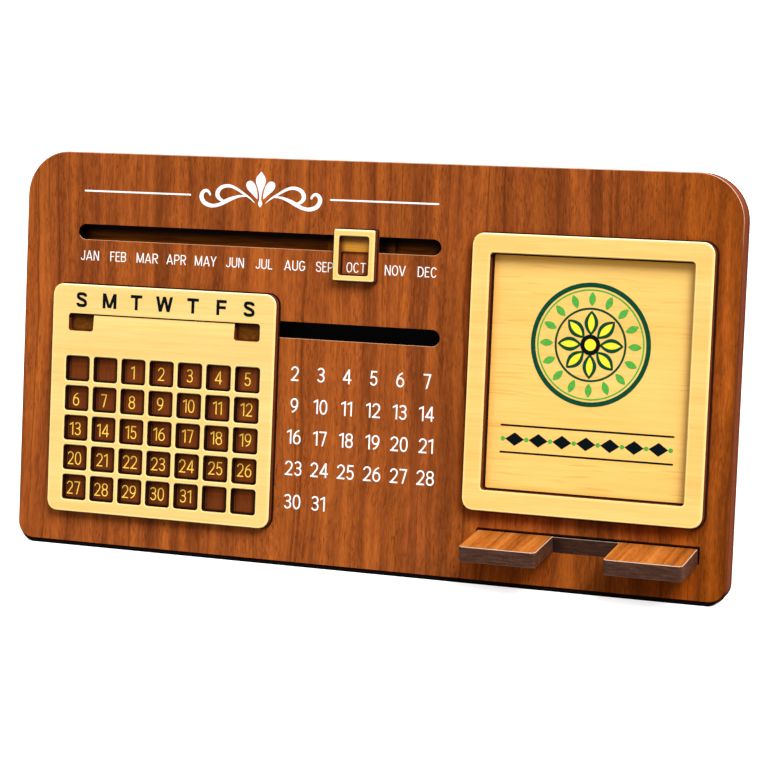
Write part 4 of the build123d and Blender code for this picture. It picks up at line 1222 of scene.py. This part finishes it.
# ------------------------------------------------------------------ gold day numbers under the windows
C0, CP, R0, RP = -103.8, 10.72, -6.6, -10.33
GOLD = [["", "", "1", "2", "3", "4", "5"], ["6", "7", "8", "9", "10", "11", "12"], ["13", "14", "15", "16", "17", "18", "19"],
        ["20", "21", "22", "23", "24", "25", "26"], ["27", "28", "29", "30", "31", "", ""]]
groups = []
for r, row in enumerate(GOLD):
    for c, s in enumerate(row):
        if s:
            groups.append((word(s, 4.5, 0.080, 0.128, 0.98), (C0 + CP * c - 1.62 + 0.1 * (c - 3), R0 + RP * r - 0.3 + 0.1 * (c - 3))))
add_print("print_days_gold", groups, 0.0, INK, M_GOLD, BODY)

# ------------------------------------------------------------------ weekday letters on the grid plate
WD_X = [-102.9, -92.15, -81.9, -71.25, -60.5, -49.85, -39.6]
N_PLATE = 3.5
groups = [(word(s, 5.15, 0.212, 0.1, 1.0, ws), (x, 17.3))
          for s, x, ws in zip("SMTWTFS", WD_X, (1.22, 1.20, 1.26, 1.16, 1.26, 1.34, 1.22))]
add_print("print_weekdays", groups, N_PLATE, INK, M_NAVY, "date_slider")


# ------------------------------------------------------------------ flourish and rules
def smooth(pts, k=6):
    """Catmull-Rom through (x, y, width) points."""
    out = []
    n = len(pts)
    for i in range(n - 1):
        p0, p1, p2, p3 = pts[max(0, i - 1)], pts[i], pts[i + 1], pts[min(n - 1, i + 2)]
        for j in range(k):
            t = j / k
            out.append(tuple(0.5 * (2 * b + (c - a) * t + (2 * a - 5 * b + 4 * c - d) * t * t + (3 * b - a - 3 * c + d) * t ** 3)
                             for a, b, c, d in zip(p0, p1, p2, p3)))
    out.append(tuple(pts[-1]))
    return out


def stroke(pts, k=6, cap=True):
    s = smooth(pts, k)
    polys = ribbon([(a, b) for a, b, _ in s], [max(w * 0.88, 0.05) for _, _, w in s])
    if cap:
        polys.append(arc(s[0][0], s[0][1], s[0][2] / 2, s[0][2] / 2, 0, 345, 2.0, 16)[:])
    return polys


def mirror(polys):
    return [[(-x, y) for x, y in p][::-1] for p in polys]


SWEEP = [(-18.85, -1.75, 0.80), (-19.45, -0.85, 0.98), (-20.55, -0.50, 1.22), (-21.65, -1.25, 1.50), (-22.03, -2.75, 1.72),
         (-20.95, -4.55, 1.66), (-18.95, -5.42, 1.52), (-17.1, -5.50, 1.36), (-14.9, -4.92, 1.36), (-12.83, -3.88, 1.60),
         (-10.74, -2.95, 1.35), (-8.31, -2.14, 0.95), (-6.2, -1.86, 0.66), (-4.5, -1.92, 0.44)]
LOOP = [(-13.2, -3.85, 0.5), (-14.2, -3.62, 1.0), (-15.35, -2.98, 1.40), (-16.05, -1.80, 1.72), (-15.80, -0.50, 1.66), (-14.76, 0.64, 1.46),
        (-12.85, 1.30, 1.28), (-10.9, 1.20, 1.15), (-8.75, 0.35, 1.01), (-6.59, -0.88, 0.84), (-4.79, -1.90, 0.68),
        (-3.34, -2.92, 0.48), (-1.95, -4.12, 0.14)]
PETAL_R = [(0.0, 6.5), (0.45, 6.0), (0.9, 5.45), (1.35, 4.9), (1.66, 4.35), (1.82, 3.75), (1.80, 3.1), (1.6, 2.35), (1.3, 1.6),
           (1.0, 0.85), (0.75, 0.1), (0.56, -0.7), (0.42, -1.6), (0.34, -2.5), (0.34, -3.1)]
centre_petal = [PETAL_R + [(-x, y) for x, y in reversed(PETAL_R[1:])]]
bulb = [[(0.30, -2.9), (0.58, -3.65), (0.80, -4.3), (0.55, -4.85), (0.0, -5.55), (-0.55, -4.85), (-0.80, -4.3), (-0.58, -3.65), (-0.30, -2.9)]]
SIDE = smooth([(-1.12, -2.8, 0), (-2.0, -2.05, 0), (-3.2, -1.0, 0), (-4.5, 0.15, 0), (-5.25, 1.35, 0), (-5.15, 2.65, 0), (-4.1, 3.3, 0),
               (-3.0, 3.05, 0), (-2.1, 2.1, 0), (-1.5, 0.75, 0), (-1.15, -0.9, 0), (-1.02, -2.2, 0), (-1.12, -2.8, 0)], 5)
side_petal = [[(x, y) for x, y, _ in SIDE[:-1]]]
half = stroke(SWEEP) + stroke(LOOP, cap=False)
scale = 22.65 / 22.9
orn = [[(x * scale, y) for x, y in p] for p in half + mirror(half)] + centre_petal + bulb + side_petal + mirror(side_petal)


def rule(x0, x1, v, w=0.57):
    return [[(x0 + w / 2, v - w / 2), (x1 - w / 2, v - w / 2), (x1 - w / 2, v + w / 2), (x0 + w / 2, v + w / 2)],
            arc(x0 + w / 2, v, w / 2, w / 2, 90, 270, 2.0, 8), arc(x1 - w / 2, v, w / 2, w / 2, -90, 90, 2.0, 8)]


add_print("print_flourish", [(orn, (-38.6, 57.05)), (rule(-104.95, -64.35, 0), (0, 54.9)), (rule(-13.2, 25.4, 0), (0, 55.0))],
          0.0, INK, M_WHITE, BODY)

# ------------------------------------------------------------------ medallion in the picture recess
PCX, PCV, PN = 79.05, 12.0, 0.8


def disc(r, k=64):
    return [arc(0, 0, r, r, 0, 360 - 360 / k, 2.0, k - 1)]


def ring(r, w, k=96):
    return ribbon(arc(0, 0, r, r, 0, 360, 2.0, k), w, True)


def star_half(points, r_out, r_in, left, rot=0.0):
    """One side of each ray of a compass star."""
    out = []
    for i in range(points):
        a = radians(90 + rot + 360 / points * i)
        s = 1 if left else -1
        b = a + s * pi / points
        out.append([(0, 0), (r_out * cos(a), r_out * sin(a)), (r_in * cos(b), r_in * sin(b))])
    return out


def petal(r0, r1, w, a):
    """Pointed oval between two radii, along angle a."""
    pts = []
    for i in range(13):
        t = i / 12
        pts.append((r0 + (r1 - r0) * t, w / 2 * sin(pi * t) ** 0.85))
    pts += [(x, -y) for x, y in reversed(pts[1:-1])]
    ca, sa = cos(a), sin(a)
    return [(x * ca - y * sa, x * sa + y * ca) for x, y in pts]


M_C = (PCX, PCV)
add_print("panel_ring_green", [(ring(19.2, 1.5), M_C), (ring(11.6, 0.7), M_C)], PN, 0.07, M_GREEN, BODY)
add_print("panel_ring_leaf", [(ring(17.6, 0.5), M_C)], PN, 0.07, M_LIME, BODY)
add_print("panel_petals_green", [([petal(3.0, 11.0, 4.6, radians(45 * i)) for i in range(8)], M_C)], PN, 0.07, M_GREEN, BODY)
add_print("panel_petals_yellow", [([petal(4.0, 10.0, 2.2, radians(45 * i)) for i in range(8)], M_C)], PN + 0.07, 0.05, M_YELLOW, BODY)
add_print("panel_leaves", [([petal(12.4, 17.0, 2.3, radians(22.5 * i)) for i in range(16)], M_C)], PN, 0.07, M_LIME, BODY)
add_print("panel_centre", [(disc(3.3), M_C)], PN + 0.12, 0.05, M_NAVY, BODY)
add_print("panel_centre_dot", [(disc(1.9), M_C)], PN + 0.17, 0.05, M_YELLOW, BODY)
# border band under the rosette
diamonds, dots = [], []
for i in range(-3, 4):
    diamonds.append([(8.0 * i - 3.2, 0), (8.0 * i, -2.2), (8.0 * i + 3.2, 0), (8.0 * i, 2.2)])
for i in range(-4, 4):
    dots.append(arc(8.0 * i + 4.0, 0, 0.75, 0.75, 0, 345, 2.0, 20))
add_print("panel_band_navy", [(diamonds, (PCX, -20.0)), (rule(-29.0, 29.0, 0, 0.6), (PCX, -15.6)), (rule(-29.0, 29.0, 0, 0.6), (PCX, -24.4))],
          PN, 0.07, M_NAVY, BODY)
add_print("panel_band_dots", [(dots, (PCX, -20.0))], PN, 0.07, M_LIME, BODY)

# ------------------------------------------------------------------ floor, light, camera
bm = bmesh.new()
S = 6.0
pts = [(-S, -S), (S, -S), (S, S), (-S, S)]
bm.faces.new([bm.verts.new((x, y, 0)) for x, y in pts])
me = bpy.data.meshes.new("floor")
bm.to_mesh(me)
bm.free()
floor = bpy.data.objects.new("floor", me)
bpy.context.scene.collection.objects.link(floor)
fm = Mat("floor_white")
fm.set(color=(0.66, 0.66, 0.66, 1), rough=0.9, spec=0.1)
fm.b.inputs["Emission Color"].default_value = (1, 1, 1, 1)
fm.b.inputs["Emission Strength"].default_value = 0.70
me.materials.append(fm.m)
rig.stage(floor)

world = bpy.data.worlds.new("studio")
bpy.context.scene.world = world
world.use_nodes = True
world.node_tree.nodes["Background"].inputs[0].default_value = (1.0, 1.0, 1.0, 1)
# the light from below is weaker than that from above
wt = world.node_tree
wc = wt.nodes.new("ShaderNodeTexCoord")
ws = wt.nodes.new("ShaderNodeSeparateXYZ")
wr = wt.nodes.new("ShaderNodeMapRange")
wr.interpolation_type = "SMOOTHSTEP"
wt.links.new(wc.outputs["Generated"], ws.inputs[0])
wt.links.new(ws.outputs[2], wr.inputs[0])
for i, x in zip((1, 2, 3, 4), (-0.35, 0.15, 0.19, 0.80)):
    wr.inputs[i].default_value = x
wt.links.new(wr.outputs[0], wt.nodes["Background"].inputs[1])
floor.visible_diffuse = False


def aim(o, target):
    d = Vector(target) - o.location
    o.rotation_euler = d.to_track_quat("-Z", "Y").to_euler()


def area(name, loc, target, size, power, size_y=None):
    l = bpy.data.lights.new(name, "AREA")
    l.shape = "RECTANGLE"
    l.size = size
    l.size_y = size_y or size
    l.energy = power
    o = bpy.data.objects.new(name, l)
    o.location = loc
    bpy.context.scene.collection.objects.link(o)
    aim(o, target)
    return o


sun = bpy.data.lights.new("key", "SUN")
sun.energy = 3.42
sun.angle = radians(28)
so = bpy.data.objects.new("key", sun)
so.location = (0.90, -0.98, 1.55)
bpy.context.scene.collection.objects.link(so)
aim(so, (0, 0, 0.05))

# a second one from behind for the back and the legs
sun2 = bpy.data.lights.new("rear", "SUN")
sun2.energy = 1.8
sun2.angle = radians(30)
so2 = bpy.data.objects.new("rear", sun2)
so2.location = (-0.35, 1.2, 1.0)
bpy.context.scene.collection.objects.link(so2)
aim(so2, (0, 0, 0.05))

# camera: position and turn found from the board's corners and the ledges
PSI, ELEV, ROLL = radians(21.431), radians(13.319), radians(-1.295)
DIST, PX, PY, FPX = 813.997, -7.835, 5.583, 2450.0
Rv = Vector((cos(PSI), sin(PSI), 0))
Fv = Vector((-sin(PSI) * cos(ELEV), cos(PSI) * cos(ELEV), -sin(ELEV)))
Uv = Rv.cross(Fv)
R2 = cos(ROLL) * Rv + sin(ROLL) * Uv
U2 = -sin(ROLL) * Rv + cos(ROLL) * Uv
target = Vector((0, Y0, Z0))
pos = (target - PX * R2 - PY * U2 - DIST * Fv) / 1000.0
cam_data = bpy.data.cameras.new("camera")
cam = bpy.data.objects.new("camera", cam_data)
bpy.context.scene.collection.objects.link(cam)
cam_data.sensor_width = 36.0
cam_data.lens = FPX / 768.0 * 36.0
cam_data.clip_start = 0.01
cam_data.clip_end = 50.0
cam_data.dof.use_dof = False
mw = Matrix.Identity(4)
for i, ax in enumerate((R2, U2, -Fv)):
    for j in range(3):
        mw[j][i] = ax[j]
mw.translation = pos
cam.matrix_world = mw
bpy.context.scene.camera = cam

bpy.context.scene.view_settings.view_transform = "Standard"
bpy.context.scene.view_settings.look = "None"
bpy.context.scene.view_settings.exposure = 0.0
bpy.context.scene.view_settings.gamma = 1.0

VIS_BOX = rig.bounds()


def plain(b):
    return [[float(c) for c in p] for p in b]


try:
    with open("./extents.json", "w") as fh:
        json.dump({"cad": plain(CAD_BOX), "visual": plain(VIS_BOX)}, fh)
except OSError:
    pass
